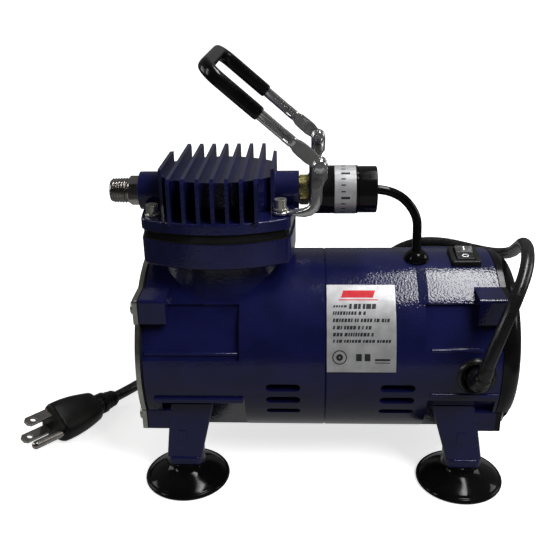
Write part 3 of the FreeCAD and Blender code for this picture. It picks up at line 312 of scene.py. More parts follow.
def laminated():
    """Stacked steel sheets across X."""
    material = plain("laminated_steel", (0.30, 0.31, 0.33), 0.45, 1.0)
    tree = material.node_tree
    coordinate = tree.nodes.new("ShaderNodeTexCoord")
    wave = tree.nodes.new("ShaderNodeTexWave")
    wave.inputs["Scale"].default_value = 320.0
    tree.links.new(coordinate.outputs["Object"], wave.inputs["Vector"])
    tint(material, wave.outputs["Fac"], (0.16, 0.16, 0.17), (0.38, 0.39, 0.41))
    bump(material, [(wave.outputs["Fac"], 0.1)])
    return material


def foil():
    """Brushed silver foil under a matt varnish, with fine lines along X."""
    return metal("silver_foil", (0.60, 0.60, 0.61), 0.34, 0.46, 900, 0.003, (0.04, 1, 1), metallic=0.55)


FINISHES = {
    "blue_paint": blue_enamel(),
    "steel_bright": metal("bright_steel", (0.60, 0.57, 0.54), 0.10, 0.26, 1500, 0.004),
    "zinc_steel": metal("zinc_steel", (0.72, 0.70, 0.63), 0.10, 0.24, 900, 0.002, metallic=0.85),
    "chrome": metal("chrome", (0.82, 0.82, 0.81), 0.05, 0.16, 500, 0.001, metallic=0.93),
    "brass": metal("brass", (0.85, 0.74, 0.30), 0.25, 0.40, 1200, 0.004),
    "aluminium": metal("aluminium", (0.62, 0.61, 0.57), 0.28, 0.48, 700, 0.02),
    "black_plastic": black("gloss_black", 0.004, 0.10, 0.20, 900, 0.006, 0.3),
    "switch_plastic": black("satin_black", 0.010, 0.28, 0.44, 1600, 0.02, 0.35),
    "silver_foil": foil(),
    "black_rubber": black("gloss_rubber", 0.003, 0.07, 0.16, 700, 0.006),
    "grip_rubber": black("grip_rubber", 0.003, 0.12, 0.22, 700, 0.003, 0.4),
    "gasket": black("gasket_fibre", 0.01, 0.55, 0.75, 2200, 0.02, 0.2),
    "cord_jacket": black("cord_jacket", 0.008, 0.20, 0.32, 1100, 0.004, 0.6),
    "plug_vinyl": black("plug_vinyl", 0.006, 0.30, 0.44, 1300, 0.012, 0.35),
    "copper": metal("copper_wire", (0.62, 0.26, 0.12), 0.30, 0.45, 1500, 0.05, (0.1, 1, 1)),
    "sintered_bronze": metal("sintered_bronze", (0.50, 0.36, 0.20), 0.45, 0.60, 2500, 0.02),
    "lamination": laminated(),
    "piston_cup": black("ptfe", 0.10, 0.45, 0.60, 1500, 0.01),
    "fan_plastic": black("fan_nylon", 0.80, 0.35, 0.50, 900, 0.01),
}
RED_INK = black("red_ink", 0.3, 0.35, 0.5, 900, 0.003)
tint(RED_INK, noise(RED_INK, 300, 2), (0.50, 0.012, 0.022), (0.62, 0.02, 0.035))
DARK_INK = black("dark_ink", 0.03, 0.4, 0.55, 900, 0.003)
WHITE_INK = black("white_ink", 0.85, 0.4, 0.55, 900, 0.003)


def finish_cad_nodes():
    for part in frame["record"]["subparts"]:
        node = NODES[part["node"]]
        node.data.materials.clear()
        node.data.materials.append(FINISHES[part["material_slot"]])


SOFT_EDGES = {                    # width of the rounding of each node
    "cylinder_head": 0.35, "front_housing": 0.4, "rear_housing": 0.4, "valve_plate": 0.3,
    "rocker_bezel": 0.3, "rocker_button": 0.3, "pressure_switch_body": 0.4, "pressure_switch_cap": 0.6,
    "rear_end_cover": 0.4, "crankcase_cover": 0.3, "plug_blades": 0.15, "head_washers": 0.2,
    "head_screws": 0.25, "cord_tie": 0.3,
}


def soften(name, width):
    """Rounds a CAD node's sharp edges a little, so that they catch the light."""
    node = NODES[name]
    weld = node.modifiers.new("weld", "WELD")
    weld.merge_threshold = 0.000002
    bevel = node.modifiers.new("bevel", "BEVEL")
    bevel.width = width * MM
    bevel.segments = 2
    bevel.limit_method = "ANGLE"
    bevel.angle_limit = math.radians(40.0)
    bevel.harden_normals = True
    bevel.use_clamp_overlap = True
    shade = node.modifiers.new("shade", "WEIGHTED_NORMAL")       # keeps large faces evenly shaded
    shade.weight = 50
    shade.keep_sharp = True


# ---- mesh tools ------------------------------------------------------------------
def ring_points(centre, across, upward, radius, count):
    """Points on a circle; radius is in mm, or a function of the angle in degrees."""
    points = []
    for i in range(count):
        degrees = 360.0 * i / count
        size = radius(degrees) if callable(radius) else radius
        turn = math.radians(degrees)
        points.append(mm(*centre) + (across * math.cos(turn) + upward * math.sin(turn)) * size * MM)
    return points


def skin(bm, rings):
    """Joins rings of equal count, one after another, and closes both ends."""
    rows = [[bm.verts.new(p) for p in ring] for ring in rings]
    for a, b in zip(rows, rows[1:]):
        for i in range(len(a)):
            j = (i + 1) % len(a)
            bm.faces.new((a[i], a[j], b[j], b[i]))
    bm.faces.new(rows[0])
    bm.faces.new(list(reversed(rows[-1])))


def patch(bm, rows):
    """An open sheet from rows of points."""
    grid = [[bm.verts.new(p) for p in row] for row in rows]
    for a, b in zip(grid, grid[1:]):
        for i in range(len(a) - 1):
            bm.faces.new((a[i], a[i + 1], b[i + 1], b[i]))


def finish_mesh(name, bm, body, slot, material=None, sharp=35.0, place=None):
    """Turns a bmesh into a piece that rides on a body."""
    bmesh.ops.recalc_face_normals(bm, faces=bm.faces)
    mesh = bpy.data.meshes.new(name)
    bm.to_mesh(mesh)
    bm.free()
    if place is not None:
        mesh.transform(place)
    for polygon in mesh.polygons:
        polygon.use_smooth = True
    mesh.set_sharp_from_angle(angle=math.radians(sharp))
    mesh.materials.append(material or FINISHES[slot])
    piece = bpy.data.objects.new(name, mesh)
    bpy.context.scene.collection.objects.link(piece)
    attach(piece, body)
    return piece


X_AXIS, Y_AXIS, Z_AXIS = Vector((1, 0, 0)), Vector((0, 1, 0)), Vector((0, 0, 1))


# ---- mains cord --------------------------------------------------------------
CORD_UP = [
    (81.2, -62.2, 79.5), (85.8, -61.3, 95.5), (92.8, -55.3, 110.8), (99.8, -43.5, 120.6),
    (104.0, -28.0, 125.0), (106.5, -10.5, 122.5), (108.7, 6.5, 113.5), (110.0, 23.5, 103.6),
    (106.0, 41.0, 96.5), (95.8, 56.0, 93.8), (80.3, 66.0, 94.6), (64.0, 70.0, 93.2),
    (49.5, 73.5, 85.0), (39.5, 77.5, 70.0), (32.5, 82.0, 52.5), (25.5, 87.0, 35.0),
    (15.8, 92.0, 20.5), (3.1, 101.3, 10.4),
]
CORD_FLOOR = [
    (27.6, 93.1, 4.0), (4.0, 93.1, 3.8), (-26.0, 95.5, 3.4), (-57.0, 93.5, 3.4),
    (-85.0, 80.5, 3.5), (-103.0, 61.0, 4.0), (-113.2, 42.8, 4.7), (-122.0, 29.8, 5.5),
]
COIL_CENTRE = (27.6, 133.7)
COIL_R = (40.6, 34.2, 27.8, 27.8, 34.2, 40.6)      # of each turn, in its order along the cord
COIL_START, COIL_END = 233.0, 270.0                # where it comes in and leaves, in degrees
LAYER_Z = (10.4, 4.0)
SHIFT_START = 220.0                                # a turn moves over to the next in its last 140 degrees
POINTS_A_TURN = 24


def coil_points():
    """Clockwise turns: three inwards in the upper layer, then three outwards in the lower."""
    step = 360.0 / POINTS_A_TURN
    wound = COIL_START - COIL_END + 360.0 * len(COIL_R)
    points = []
    for i in range(1, int(wound / step)):
        turned = i * step
        turn = int(turned // 360.0)
        over = max(0.0, (turned % 360.0 - SHIFT_START) / (360.0 - SHIFT_START))
        over = over * over * (3.0 - 2.0 * over)
        following = min(turn + 1, len(COIL_R) - 1)
        radius = COIL_R[turn] + (COIL_R[following] - COIL_R[turn]) * over
        height = LAYER_Z[turn // 3] + (LAYER_Z[following // 3] - LAYER_Z[turn // 3]) * over
        angle = math.radians(COIL_START - turned)
        points.append((COIL_CENTRE[0] + radius * math.cos(angle),
                       COIL_CENTRE[1] + radius * math.sin(angle), height))
    return points


def nurbs_tube(name, route, diameter, material):
    curve = bpy.data.curves.new(name, "CURVE")
    curve.dimensions = "3D"
    spline = curve.splines.new("NURBS")
    spline.points.add(len(route) - 1)
    for point, place in zip(spline.points, route):
        point.co = (*mm(*place), 1.0)
    spline.order_u = 3
    spline.use_endpoint_u = True
    spline.resolution_u = 6
    curve.bevel_depth = diameter * MM / 2.0
    curve.bevel_resolution = 5
    curve.use_fill_caps = True
    curve.materials.append(material)
    tube = bpy.data.objects.new(name, curve)
    bpy.context.scene.collection.objects.link(tube)
    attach(tube, "body")
    return tube


def make_cord():
    cord = nurbs_tube("mains_cord", CORD_UP + coil_points() + CORD_FLOOR, CORD_D, FINISHES["cord_jacket"])
    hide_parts("power_cord", "cord_coil", "power_cord_plug_end")
    return cord


def make_switch_cable():
    """Held at both ends: from the pressure switch's cap down into the grommet."""
    lean = math.radians(10.7)
    turn_z = PORT_Z - 12.0
    foot_z = 108.0
    route = [(30.0, 0.0, PORT_Z), (41.8, 0.0, PORT_Z)]
    for z in (turn_z, 122.0, foot_z):
        route.append((53.8, -(PORT_Z - z) * math.tan(lean), z))
    cable = nurbs_tube("switch_lead", route, SWITCH_CABLE_D, FINISHES["black_rubber"])
    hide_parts("switch_cable")
    return cable, route[0]


def quadratic(a, b, c, t):
    return a * (1 - t) ** 2 + b * 2 * t * (1 - t) + c * t * t


def make_gland():
    """Round bush on the barrel, and a ribbed boot that tapers onto the cord."""
    bm = bmesh.new()
    centre_x, centre_z = 80.3, 66.0
    profile = [(0.0, -45.0), (5.6, -45.0), (6.4, -47.2), (7.2, -48.9), (8.2, -49.3), (9.3, -48.7),
               (9.8, -47.4), (9.9, -44.0), (9.0, -42.0)]
    rings = [ring_points((centre_x, y, centre_z), X_AXIS, Z_AXIS, max(r, 0.01), 48) for r, y in profile]
    skin(bm, rings)
    start, corner, end = (Vector(p) for p in ((80.3, -46.0, 66.0), (78.2, -63.6, 65.2), (81.2, -62.2, 79.5)))
    steps = 56
    rings = []
    for i in range(steps + 1):
        t = i / steps
        centre = quadratic(start, corner, end, t)
        ahead = (quadratic(start, corner, end, min(t + 0.01, 1.0))
                 - quadratic(start, corner, end, max(t - 0.01, 0.0))).normalized()
        side = ahead.cross(X_AXIS).normalized()
        rib = 0.35 if (i // 4) % 2 and 0.15 < t < 0.85 else 0.0
        radius = 5.3 + (3.55 - 5.3) * t - rib
        rings.append(ring_points(centre, side, ahead.cross(side), radius, 28))
    skin(bm, rings)
    gland = finish_mesh("gland_and_boot", bm, "body", "black_rubber", FINISHES["cord_jacket"], 50)
    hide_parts("cord_gland")
    return gland


# ---- plug --------------------------------------------------------------------
def plug_place():
    turn = (Matrix.Rotation(math.radians(236.5), 4, "Z") @ Matrix.Rotation(math.radians(-6.0), 4, "Y")
            @ Matrix.Rotation(math.radians(-18.0), 4, "X"))
    return Matrix.Translation(mm(-151.4, -6.6, 11.8)) @ turn


def plug_ring(x, scale, shift, count=48):
    """Outline across the plug: flat flanks, wide at the blades, round at the earth pin."""
    points = []
    for i in range(count):
        turn = 2 * math.pi * i / count
        c, s = math.cos(turn), math.sin(turn)
        y = 5.3 + 11.5 * math.copysign(abs(c) ** 0.75, c)
        half = 11.7 - max(0.0, (y + 3.0) / 14.3) * 4.0
        z = half * math.copysign(abs(s) ** 0.55, s)
        points.append(mm(x, shift + y * scale, z * scale))
    return points


def make_plug():
    bm = bmesh.new()
    shape = [(0.0, 0.90, 0.3), (-0.5, 0.955, 0.12), (-1.4, 0.985, 0.0), (-5.0, 0.995, 0.0), (-9.0, 0.99, 0.0),
             (-16.0, 0.94, 0.25), (-23.0, 0.84, 0.75), (-28.5, 0.74, 1.15), (-30.2, 0.66, 1.5),
             (-30.9, 0.55, 2.1)]
    skin(bm, [plug_ring(*row) for row in shape])
    relief = [(-30.0, 6.0), (-31.0, 6.3), (-33.2, 6.4), (-33.4, 5.7), (-34.4, 5.7), (-34.6, 6.35),
              (-37.4, 6.35), (-38.0, 6.0), (-38.2, 5.3), (-39.4, 5.2), (-39.6, 5.45), (-41.4, 5.35),
              (-41.6, 4.8), (-42.8, 4.7), (-43.0, 5.05), (-44.8, 4.95), (-45.0, 4.4), (-46.3, 4.2),
              (-47.0, 3.7)]
    skin(bm, [ring_points((x, 4.6, 0), Y_AXIS, Z_AXIS, r, 40) for x, r in relief])
    plug = finish_mesh("plug_moulding", bm, "body", "plug_vinyl", sharp=40, place=plug_place())
    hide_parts("plug_body")
    return plug


# ---- threaded outlet, hexes --------------------------------------------------------
def hexagon(across_flats, limit):
    """Radius of a hexagon at an angle, cut off by a circle as a chamfer."""
    def radius(degrees):
        off = (degrees - 20.0) % 60.0 - 30.0
        return min(across_flats / 2.0 / math.cos(math.radians(off)), limit)
    return radius


def axial_ring(x, radius, count=72):
    return ring_points((x, 0, PORT_Z), Y_AXIS, Z_AXIS, radius, count)


def make_outlet():
    """Pipe nipple: bore, helical thread on a slight taper, hex and shank."""
    bm = bmesh.new()
    tip, root, pitch, depth = -103.2, -94.3, 1.411, 0.80

    def thread(x):
        crest = 6.5 - (root - x) / 32.0
        lead_in = min(1.0, (x - tip) / 1.2)

        def radius(degrees):
            phase = (x / pitch + degrees / 360.0) % 1.0
            groove = abs(2.0 * phase - 1.0)
            groove = min(1.0, max(0.0, groove * 1.25 - 0.12))
            return crest - depth * (1.0 - groove * lead_in) - 0.25 * (1.0 - lead_in)
        return radius

    rings = [axial_ring(x, r) for x, r in ((-92.0, 2.6), (-102.6, 2.6), (tip, 3.3))]
    rings.append(axial_ring(tip, 4.9))
    steps = 88
    rings += [axial_ring(tip + (root - tip) * i / steps, thread(tip + (root - tip) * i / steps))
              for i in range(1, steps + 1)]
    rings += [axial_ring(-94.2, 5.6), axial_ring(-93.5, 5.6)]
    rings += [axial_ring(-93.4, hexagon(13.4, 6.75)), axial_ring(-92.7, hexagon(13.4, 7.6))]
    rings += [axial_ring(-88.3, hexagon(13.4, 7.6)), axial_ring(-87.65, hexagon(13.4, 6.9))]
    rings.append(axial_ring(-87.6, 5.0))
    skin(bm, rings)
    outlet = finish_mesh("outlet_nipple", bm, "body", "steel_bright", sharp=28)
    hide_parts("outlet_fitting")


def make_switch_nut():
    bm = bmesh.new()
    rings = [axial_ring(-8.0, 5.4), axial_ring(-6.6, 5.4)]
    rings += [axial_ring(-6.55, hexagon(13.4, 6.85)), axial_ring(-6.0, hexagon(13.4, 7.8))]
    rings += [axial_ring(-2.1, hexagon(13.4, 7.8)), axial_ring(-1.55, hexagon(13.4, 6.85))]
    rings += [axial_ring(-1.5, 5.4), axial_ring(0.5, 5.0)]
    skin(bm, rings)
    nut = finish_mesh("switch_nut", bm, "body", "brass", sharp=28)
    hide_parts("switch_adapter")


# ---- feet ----------------------------------------------------------------------
def make_cups():
    profile = [(0.02, 12.0), (8.2, 12.0), (8.7, 11.6), (8.9, 10.6), (9.6, 9.3), (11.6, 7.9), (14.6, 6.35),
               (18.0, 4.55), (20.2, 3.1), (20.6, 2.65), (21.0, 2.62), (21.5, 2.75), (22.1, 2.2), (22.5, 1.2),
               (22.2, 0.4), (21.6, 0.0), (19.9, 0.0), (17.0, 1.3), (12.0, 3.4), (6.0, 4.5), (0.02, 4.6)]
    for node in ("suction_foot_front_left", "suction_foot_front_right",
                 "suction_foot_rear_left", "suction_foot_rear_right"):
        low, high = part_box(node)
        centre = (low + high) / 2.0 / MM
        bm = bmesh.new()
        skin(bm, [ring_points((centre.x, centre.y, z), X_AXIS, Y_AXIS, r, 64) for r, z in profile])
        cup = finish_mesh(node.replace("suction_foot", "cup"), bm, "body", "black_rubber", sharp=60)
        smooth = cup.modifiers.new("subsurf", "SUBSURF")
        smooth.levels = smooth.render_levels = 1
        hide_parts(node)


# ---- printed marks ---------------------------------------------------------------
PLATE_R = BARREL_R + 0.43
PLATE_X = (7.2, 41.0)
PLATE_ANGLES = (58.1, 4.8)                # from its top edge to its bottom edge


def on_plate(x, share, rise=0.0):
    """A point on the name plate; share is down its height, and rise is further up along it."""
    angle = math.radians(PLATE_ANGLES[0] + (PLATE_ANGLES[1] - PLATE_ANGLES[0]) * share) + rise / BARREL_R
    return mm(x, -PLATE_R * math.cos(angle), AXIS_Z + PLATE_R * math.sin(angle))


def plate_mark(bm, x0, x1, top, bottom, slant=0.0):
    """A printed bar on the name plate; top and bottom are shares of its height."""
    rows = []
    for i in range(4):
        share = top + (bottom - top) * i / 3.0
        shift = slant * (0.5 - i / 3.0)
        rows.append([on_plate(x + shift, share) for x in (x0, (x0 + x1) / 2, x1)])
    patch(bm, rows)


def plate_ring(bm, x, share, outer, inner):
    """A printed ring on the name plate."""
    turns = [2 * math.pi * i / 32 for i in range(33)]
    patch(bm, [[on_plate(x + size * math.cos(turn), share, size * math.sin(turn)) for turn in turns]
               for size in (outer, inner)])


def make_plate_marks():
    """Stand-ins for the print: a red bar, rows of dashes, a ring and plain blocks."""
    left = PLATE_X[0]
    bm = bmesh.new()
    plate_mark(bm, left + 7.6, left + 23.4, 0.075, 0.165, 1.2)
    plate_mark(bm, left + 6.0, left + 25.0, 0.185, 0.198)
    finish_mesh("plate_bar", bm, "body", None, RED_INK)
    rng = random.Random(7)
    bm = bmesh.new()
    rows = ((0.268, 3.2, 9.6, 0.013), (0.268, 11.0, 23.5, 0.030), (0.345, 3.0, 18.5, 0.020),
            (0.425, 3.0, 30.5, 0.020), (0.505, 3.0, 21.5, 0.020), (0.580, 3.0, 23.0, 0.020),
            (0.652, 3.0, 30.5, 0.016))
    for share, first, last, half in rows:
        x = left + first
        while x < left + last:
            width = rng.uniform(0.7, 1.5) * (1.7 if half > 0.025 else 1.0)
            plate_mark(bm, x, x + width, share - half, share + half, 0.3)
            x += width + rng.choice((0.35, 0.35, 0.35, 1.0))
    plate_ring(bm, left + 6.2, 0.83, 3.6, 3.05)
    plate_ring(bm, left + 6.2, 0.83, 1.7, 0.4)
    plate_mark(bm, left + 14.2, left + 17.0, 0.79, 0.87)
    plate_mark(bm, left + 18.4, left + 21.2, 0.79, 0.87)
    plate_mark(bm, left + 23.4, left + 30.8, 0.845, 0.868)
    plate_mark(bm, left + 23.4, left + 30.8, 0.885, 0.895)
    finish_mesh("plate_dashes", bm, "body", None, DARK_INK)


def make_band_ticks():
    """Tick marks round the pressure switch's silver band, every fourth one longer."""
    bm = bmesh.new()
    radius = 12.34
    for i in range(24):
        length, thick = (4.4, 1.3) if i % 4 == 0 else (2.2, 0.7)
        turn = math.radians(15.0 * i + 4.0)
        half = thick / radius / 2.0
        patch(bm, [[mm(x, radius * math.cos(a), PORT_Z + radius * math.sin(a)) for x in (14.4, 14.4 + length)]
                   for a in (turn - half, turn, turn + half)])
    finish_mesh("band_ticks", bm, "body", None, DARK_INK)


def on_rocker(x, along, slope, lift):
    """A point on the button's top: along is its distance from the valley, which is 115.4 high."""
    turn = math.radians(slope)
    side = 1.0 if slope > 0 else -1.0
    y = side * (along * math.cos(turn) - lift * math.sin(turn) * side)
    rise = math.sin(turn) * along
    z = 115.4 + rise + lift * math.cos(turn) - AXIS_Z
    lean = math.radians(ROCKER_LEAN)
    return mm(ROCKER_X + x, y * math.cos(lean) - z * math.sin(lean),
              AXIS_Z + y * math.sin(lean) + z * math.cos(lean))


def make_rocker_marks():
    """The ring on the near half of the button and the bar on its far half."""
    bm = bmesh.new()
    lift = 0.12
    turns = [2 * math.pi * i / 32 for i in range(33)]
    patch(bm, [[on_rocker(size * 1.1 * math.cos(turn), 3.4 + size * math.sin(turn), -4.0, lift)
                for turn in turns] for size in (1.55, 1.1)])
    patch(bm, [[on_rocker(x, along, 18.0, lift) for x in (-0.28, 0.28)] for along in (1.6, 3.0, 4.4)])
    finish_mesh("rocker_marks", bm, "rocker", None, WHITE_INK)


# ---- handle details ----------------------------------------------------------------
def handle_place():
    return Matrix.Translation(mm(*HINGE)) @ Matrix.Rotation(math.radians(HANDLE_LEAN), 4, "Y")


ARM_Y = 31.1                      # middle of each arm
ARM_REACH = 68.2                  # from the pins to the middle of the cross bar
ARM_END_R = 3.8                   # round end of each arm and bracket


def bar_ring(x, side, half_y, half_z, groove, count=48):
    """Rounded section of a bar, with a groove along the middle of both broad faces."""
    points = []
    for i in range(count):
        turn = 2 * math.pi * i / count
        c, s = math.cos(turn), math.sin(turn)
        y = half_y * math.copysign(abs(c) ** 0.7, c)
        z = half_z * math.copysign(abs(s) ** 0.7, s)
        if abs(z) < 1.1:
            y -= math.copysign(groove, y)
        points.append(mm(x, side * ARM_Y + y, z))
    return points


def arm_end(bm, side):
    """Flat end of an arm, round about the pin, with softened edges."""
    neck = [(-17.5, 2.3), (-15.2, 2.7), (-13.6, 3.3), (-11.0, 3.5), (-6.0, 3.6)]
    turns = [math.radians(a) for a in range(-40, 221, 20)]
    outline = neck + [(ARM_END_R * math.sin(a), ARM_END_R * math.cos(a)) for a in turns]
    outline += [(x, -z) for x, z in reversed(neck)]
    rings = []
    for y, scale in ((-1.1, 0.88), (-0.85, 0.97), (-0.5, 1.0), (0.5, 1.0), (0.85, 0.97), (1.1, 0.88)):
        rings.append([mm(x, side * ARM_Y + y, z * scale) for x, z in outline])
    skin(bm, rings)


def make_bail():
    """The steel of the handle: two grooved bars and their flat ends."""
    bm = bmesh.new()
    for side in (-1, 1):
        rings = [bar_ring(-15.2, side, 1.0, 2.4, 0.0), bar_ring(-16.6, side, 1.7, 2.6, 0.0)]
        for i in range(13):
            knurl = 0.55 if i % 2 else 0.2
            rings.append(bar_ring(-17.2 - 0.35 * i, side, 2.2, 2.7, knurl if 2 < i else 0.0))
        rings += [bar_ring(-22.4, side, 2.1, 2.6, 0.45), bar_ring(-35.4, side, 2.1, 2.6, 0.45)]
        rings += [bar_ring(-36.4, side, 2.05, 2.5, 0.0), bar_ring(-56.0, side, 2.05, 2.5, 0.0)]
        skin(bm, rings)
        arm_end(bm, side)
        for face in (-1, 1):
            y = side * ARM_Y + face * 1.1
            slab = [(x, y + face * out, z) for x, z, out in (
                (-12.8, -2.9, 0.28), (-7.6, -3.0, 0.28), (-7.6, 3.0, 0.04), (-12.8, 2.9, 0.04))]
            back = [(x, y - face * 0.4, z) for x, _, z in slab]
            skin(bm, [[mm(*c) for c in slab], [mm(*c) for c in back]])
    bail = finish_mesh("bail_steel", bm, "handle", "chrome", sharp=38, place=handle_place())
    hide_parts("handle_bail")


GRIP_CORNER = 8.5                 # radius of the grip's middle line at its corners


def grip_path():
    """Middle line of one half of the grip: x, y, direction, and thickness as a share."""
    straight_end = GRIP_CORNER - ARM_REACH
    half = [(-36.0, ARM_Y, 0.0, 0.80), (-36.25, ARM_Y, 0.0, 0.90), (-36.7, ARM_Y, 0.0, 0.96),
            (-37.5, ARM_Y, 0.0, 0.99), (-39.0, ARM_Y, 0.0, 1.0)]
    half += [(-39.0 + (straight_end + 39.0) * i / 8.0, ARM_Y, 0.0, 1.0) for i in range(1, 8)]
    for i in range(13):
        turn = math.radians(7.5 * i)
        half.append((straight_end - GRIP_CORNER * math.sin(turn),
                     ARM_Y - GRIP_CORNER * (1 - math.cos(turn)), turn, 1.0))
    half += [(-ARM_REACH, (ARM_Y - GRIP_CORNER) * (1 - i / 6.0), math.pi / 2, 1.0) for i in range(1, 6)]
    return half


def grip_ring(x, y, turn, scale, count=40):
    """Rounded section across the grip's middle line."""
    out = Vector((-math.sin(turn), math.cos(turn), 0))
    points = []
    for i in range(count):
        angle = 2 * math.pi * i / count
        c, s = math.cos(angle), math.sin(angle)
        across = 3.3 * scale * math.copysign(abs(c) ** 0.72, c)
        rise = 3.45 * scale * math.copysign(abs(s) ** 0.72, s)
        points.append(mm(x, y, 0) + (out * across + Z_AXIS * rise) * MM)
    return points


def make_grip():
    """Rubber sleeve: a U with round corners, thinner at both open ends."""
    half = grip_path()
    middle = [(-ARM_REACH, 0.0, math.pi / 2, 1.0)]
    other = [(x, -y, math.pi - turn, scale) for x, y, turn, scale in reversed(half)]
    bm = bmesh.new()
    skin(bm, [grip_ring(*row) for row in half + middle + other])
    grip = finish_mesh("grip_sleeve", bm, "handle", "grip_rubber", sharp=60, place=handle_place())
    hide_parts("handle_grip")


RIVET_OUTER = [(3.5, 32.4), (3.55, 32.9), (3.3, 33.3), (3.0, 33.35), (2.9, 33.7), (2.3, 34.2), (1.2, 34.4),
               (0.02, 34.4)]
RIVET_INNER = [(3.3, 27.1), (3.3, 26.4), (2.9, 25.9), (1.6, 25.65), (0.02, 25.6)]
RIVET_SHANK = [(1.95, 26.0), (1.95, 33.0)]


def make_rivets():
    """Domed heads of the handle's pins, with a washer under the outer one."""
    bm = bmesh.new()
    for side in (-1, 1):
        for profile, count in ((RIVET_OUTER, 36), (RIVET_INNER, 36), (RIVET_SHANK, 24)):
            skin(bm, [ring_points((HINGE[0], side * y, HINGE[2]), X_AXIS, Z_AXIS, r, count)
                      for r, y in profile])
    rivets = finish_mesh("rivets", bm, "body", "chrome", sharp=50)
    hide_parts("handle_hinge_pins")


EYE_X, EYE_Y = -15.3, 24.0        # head screw that holds each bracket
EYE_R = 4.25


def strip_ring(x, y, z, lean, half_a, half_b, count=28):
    """Rounded section of the bracket's strip; lean is its direction in the XZ plane."""
    turn = math.radians(lean)
    along_a = Vector((-math.sin(turn), 0, math.cos(turn)))
    points = []
    for i in range(count):
        angle = 2 * math.pi * i / count
        c, s = math.cos(angle), math.sin(angle)
        a = half_a * math.copysign(abs(c) ** 0.75, c)
        b = half_b * math.copysign(abs(s) ** 0.75, s)
        points.append(mm(x, y, z) + (along_a * a + Y_AXIS * b) * MM)
    return points


def bracket_rows(base):
    """Middle line of a bracket's strip: x, y, z, direction, and half sizes across and along Y."""
    rows = []
    for dx in (-4.15, -3.9, -3.2, -2.0, 0.0, 2.0, 3.2):
        half = math.sqrt(max(0.0, EYE_R ** 2 - dx * dx))
        rows.append((EYE_X + dx, EYE_Y, base + 1.2, 0, 1.15, max(0.4, half)))
    rows += [(-10.4, 25.2, base + 1.3, 0, 1.25, 2.7), (-7.2, 26.9, base + 1.8, 4, 1.7, 2.3)]
    rows += [(-4.0, 28.2, base + 2.3, 10, 2.2, 2.0), (-1.2, 28.9, base + 3.3, 28, 2.45, 1.85),
             (0.8, 29.0, base + 5.3, 52, 2.6, 1.8), (1.8, 29.0, base + 8.0, 76, 2.7, 1.8),
             (2.0, 29.0, base + 11.0, 90, 2.75, 1.8), (2.1, 29.0, base + 15.0, 90, 2.75, 1.75),
             (2.6, 28.7, base + 17.2, 90, 3.1, 1.4), (3.3, 28.4, base + 19.0, 90, 3.7, 1.15)]
    for dz in (-3.0, 0.0, 1.5, 2.6, 3.3, 3.7):
        half = math.sqrt(ARM_END_R ** 2 - max(dz, 0.0) ** 2)
        rows.append((HINGE[0], 28.4, HINGE[2] + dz, 90, half, 1.15))
    return rows


def make_bracket(node, side, base):
    """Rod-like strip from an eye under the head screw, bent up to a flat end at the pin."""
    bm = bmesh.new()
    skin(bm, [strip_ring(x, side * y, z, lean, a, b) for x, y, z, lean, a, b in bracket_rows(base)])
    bracket = finish_mesh(node.replace("handle_", ""), bm, "body", "chrome", sharp=50)
    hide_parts(node)


RIB_R = 0.95                      # half the height of a rib's round edge
RIB_DEPTH = 1.6


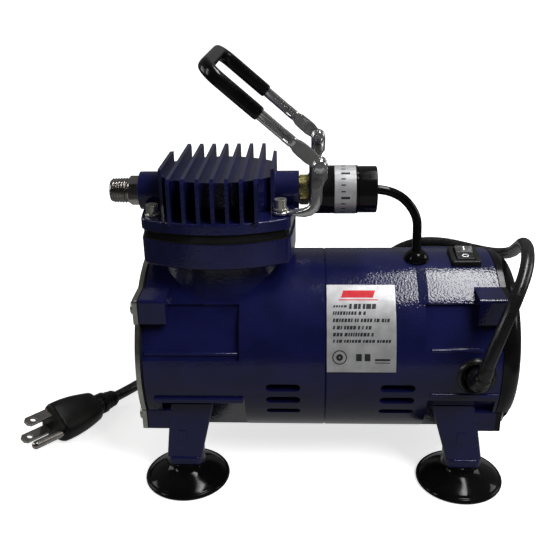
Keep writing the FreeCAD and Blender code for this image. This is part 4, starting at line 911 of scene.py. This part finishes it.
def make_casting_ribs():
    """Narrow shelves under the flats of both castings, with round edges that catch the light."""
    bm = bmesh.new()
    turns = [math.pi * i / 12.0 - math.pi / 2.0 for i in range(13)]
    for x0, x1, y, z in ((-83.8, -34.5, 44.4, 76.2), (57.6, 83.4, 45.2, 79.0)):
        root = y - RIB_DEPTH
        rows = [(y + RIB_R * math.cos(turn), z + RIB_R * math.sin(turn)) for turn in turns]
        rows += [(root, z + RIB_R), (root, z - RIB_R)]
        ends = ((x0, 0.6), (x0 + 0.5, 1.0), (x1 - 1.2, 1.0), (x1 - 0.3, 0.75), (x1, 0.3))
        for side in (-1, 1):
            skin(bm, [[mm(x, side * (root + (a - root) * grow), z + (b - z) * grow) for a, b in rows]
                      for x, grow in ends])
    finish_mesh("casting_ribs", bm, "body", "blue_paint", sharp=50)


PAD_COLUMNS = 44


def pad_lift(i, rise):
    """Height of the raised panel above the shell: sharp at its lower edge, sloping at its upper one."""
    if i == 0:
        return -0.1
    if i < PAD_COLUMNS - 2:
        return rise
    return rise * (PAD_COLUMNS - i) / 3.0


def make_shell_pad():
    """A slightly raised panel beside the rear boss, sloping down to the shell at its left end."""
    bm = bmesh.new()
    for side in (-1, 1):
        rows = []
        for x, rise in ((52.0, -0.05), (57.2, 0.55), (70.0, 0.55), (86.0, 0.55), (86.2, -0.1)):
            row = []
            for i in range(PAD_COLUMNS + 1):
                turn = math.radians(45.2 + 28.0 * i / PAD_COLUMNS)
                radius = BARREL_R + pad_lift(i, rise)
                row.append(mm(x, side * radius * math.cos(turn), AXIS_Z + radius * math.sin(turn)))
            rows.append(row)
        patch(bm, rows)
    finish_mesh("shell_pad", bm, "body", "blue_paint", sharp=3)


def make_leg_marks():
    """Small raised pads on the front of both front legs."""
    bm = bmesh.new()
    for x in (-66.8, 76.2):
        front = [mm(x - 2.0, -45.0, 31.5), mm(x - 2.2, -45.9, 25.6),
                 mm(x + 2.2, -45.9, 25.6), mm(x + 2.0, -45.0, 31.5)]
        back = [p + Y_AXIS * 3.0 * MM for p in front]
        skin(bm, [front, back])
    finish_mesh("leg_pads", bm, "body", "blue_paint", sharp=30)


# ---- build -----------------------------------------------------------------------
make_camera()
make_world()
make_lights()
make_floor()
finish_cad_nodes()
for name, width in SOFT_EDGES.items():
    soften(name, width)

mains_cord = make_cord()
gland = make_gland()
plug = make_plug()
switch_lead, lead_exit = make_switch_cable()
make_outlet()
make_switch_nut()
make_cups()
make_plate_marks()
make_band_ticks()
make_rocker_marks()
make_bail()
make_grip()
make_rivets()
bracket_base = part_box("handle_bracket_front")[0].z / MM
make_bracket("handle_bracket_front", -1, bracket_base)
make_bracket("handle_bracket_rear", 1, bracket_base)
make_leg_marks()
make_casting_ribs()
make_shell_pad()

bpy.context.scene.view_settings.view_transform = "Standard"
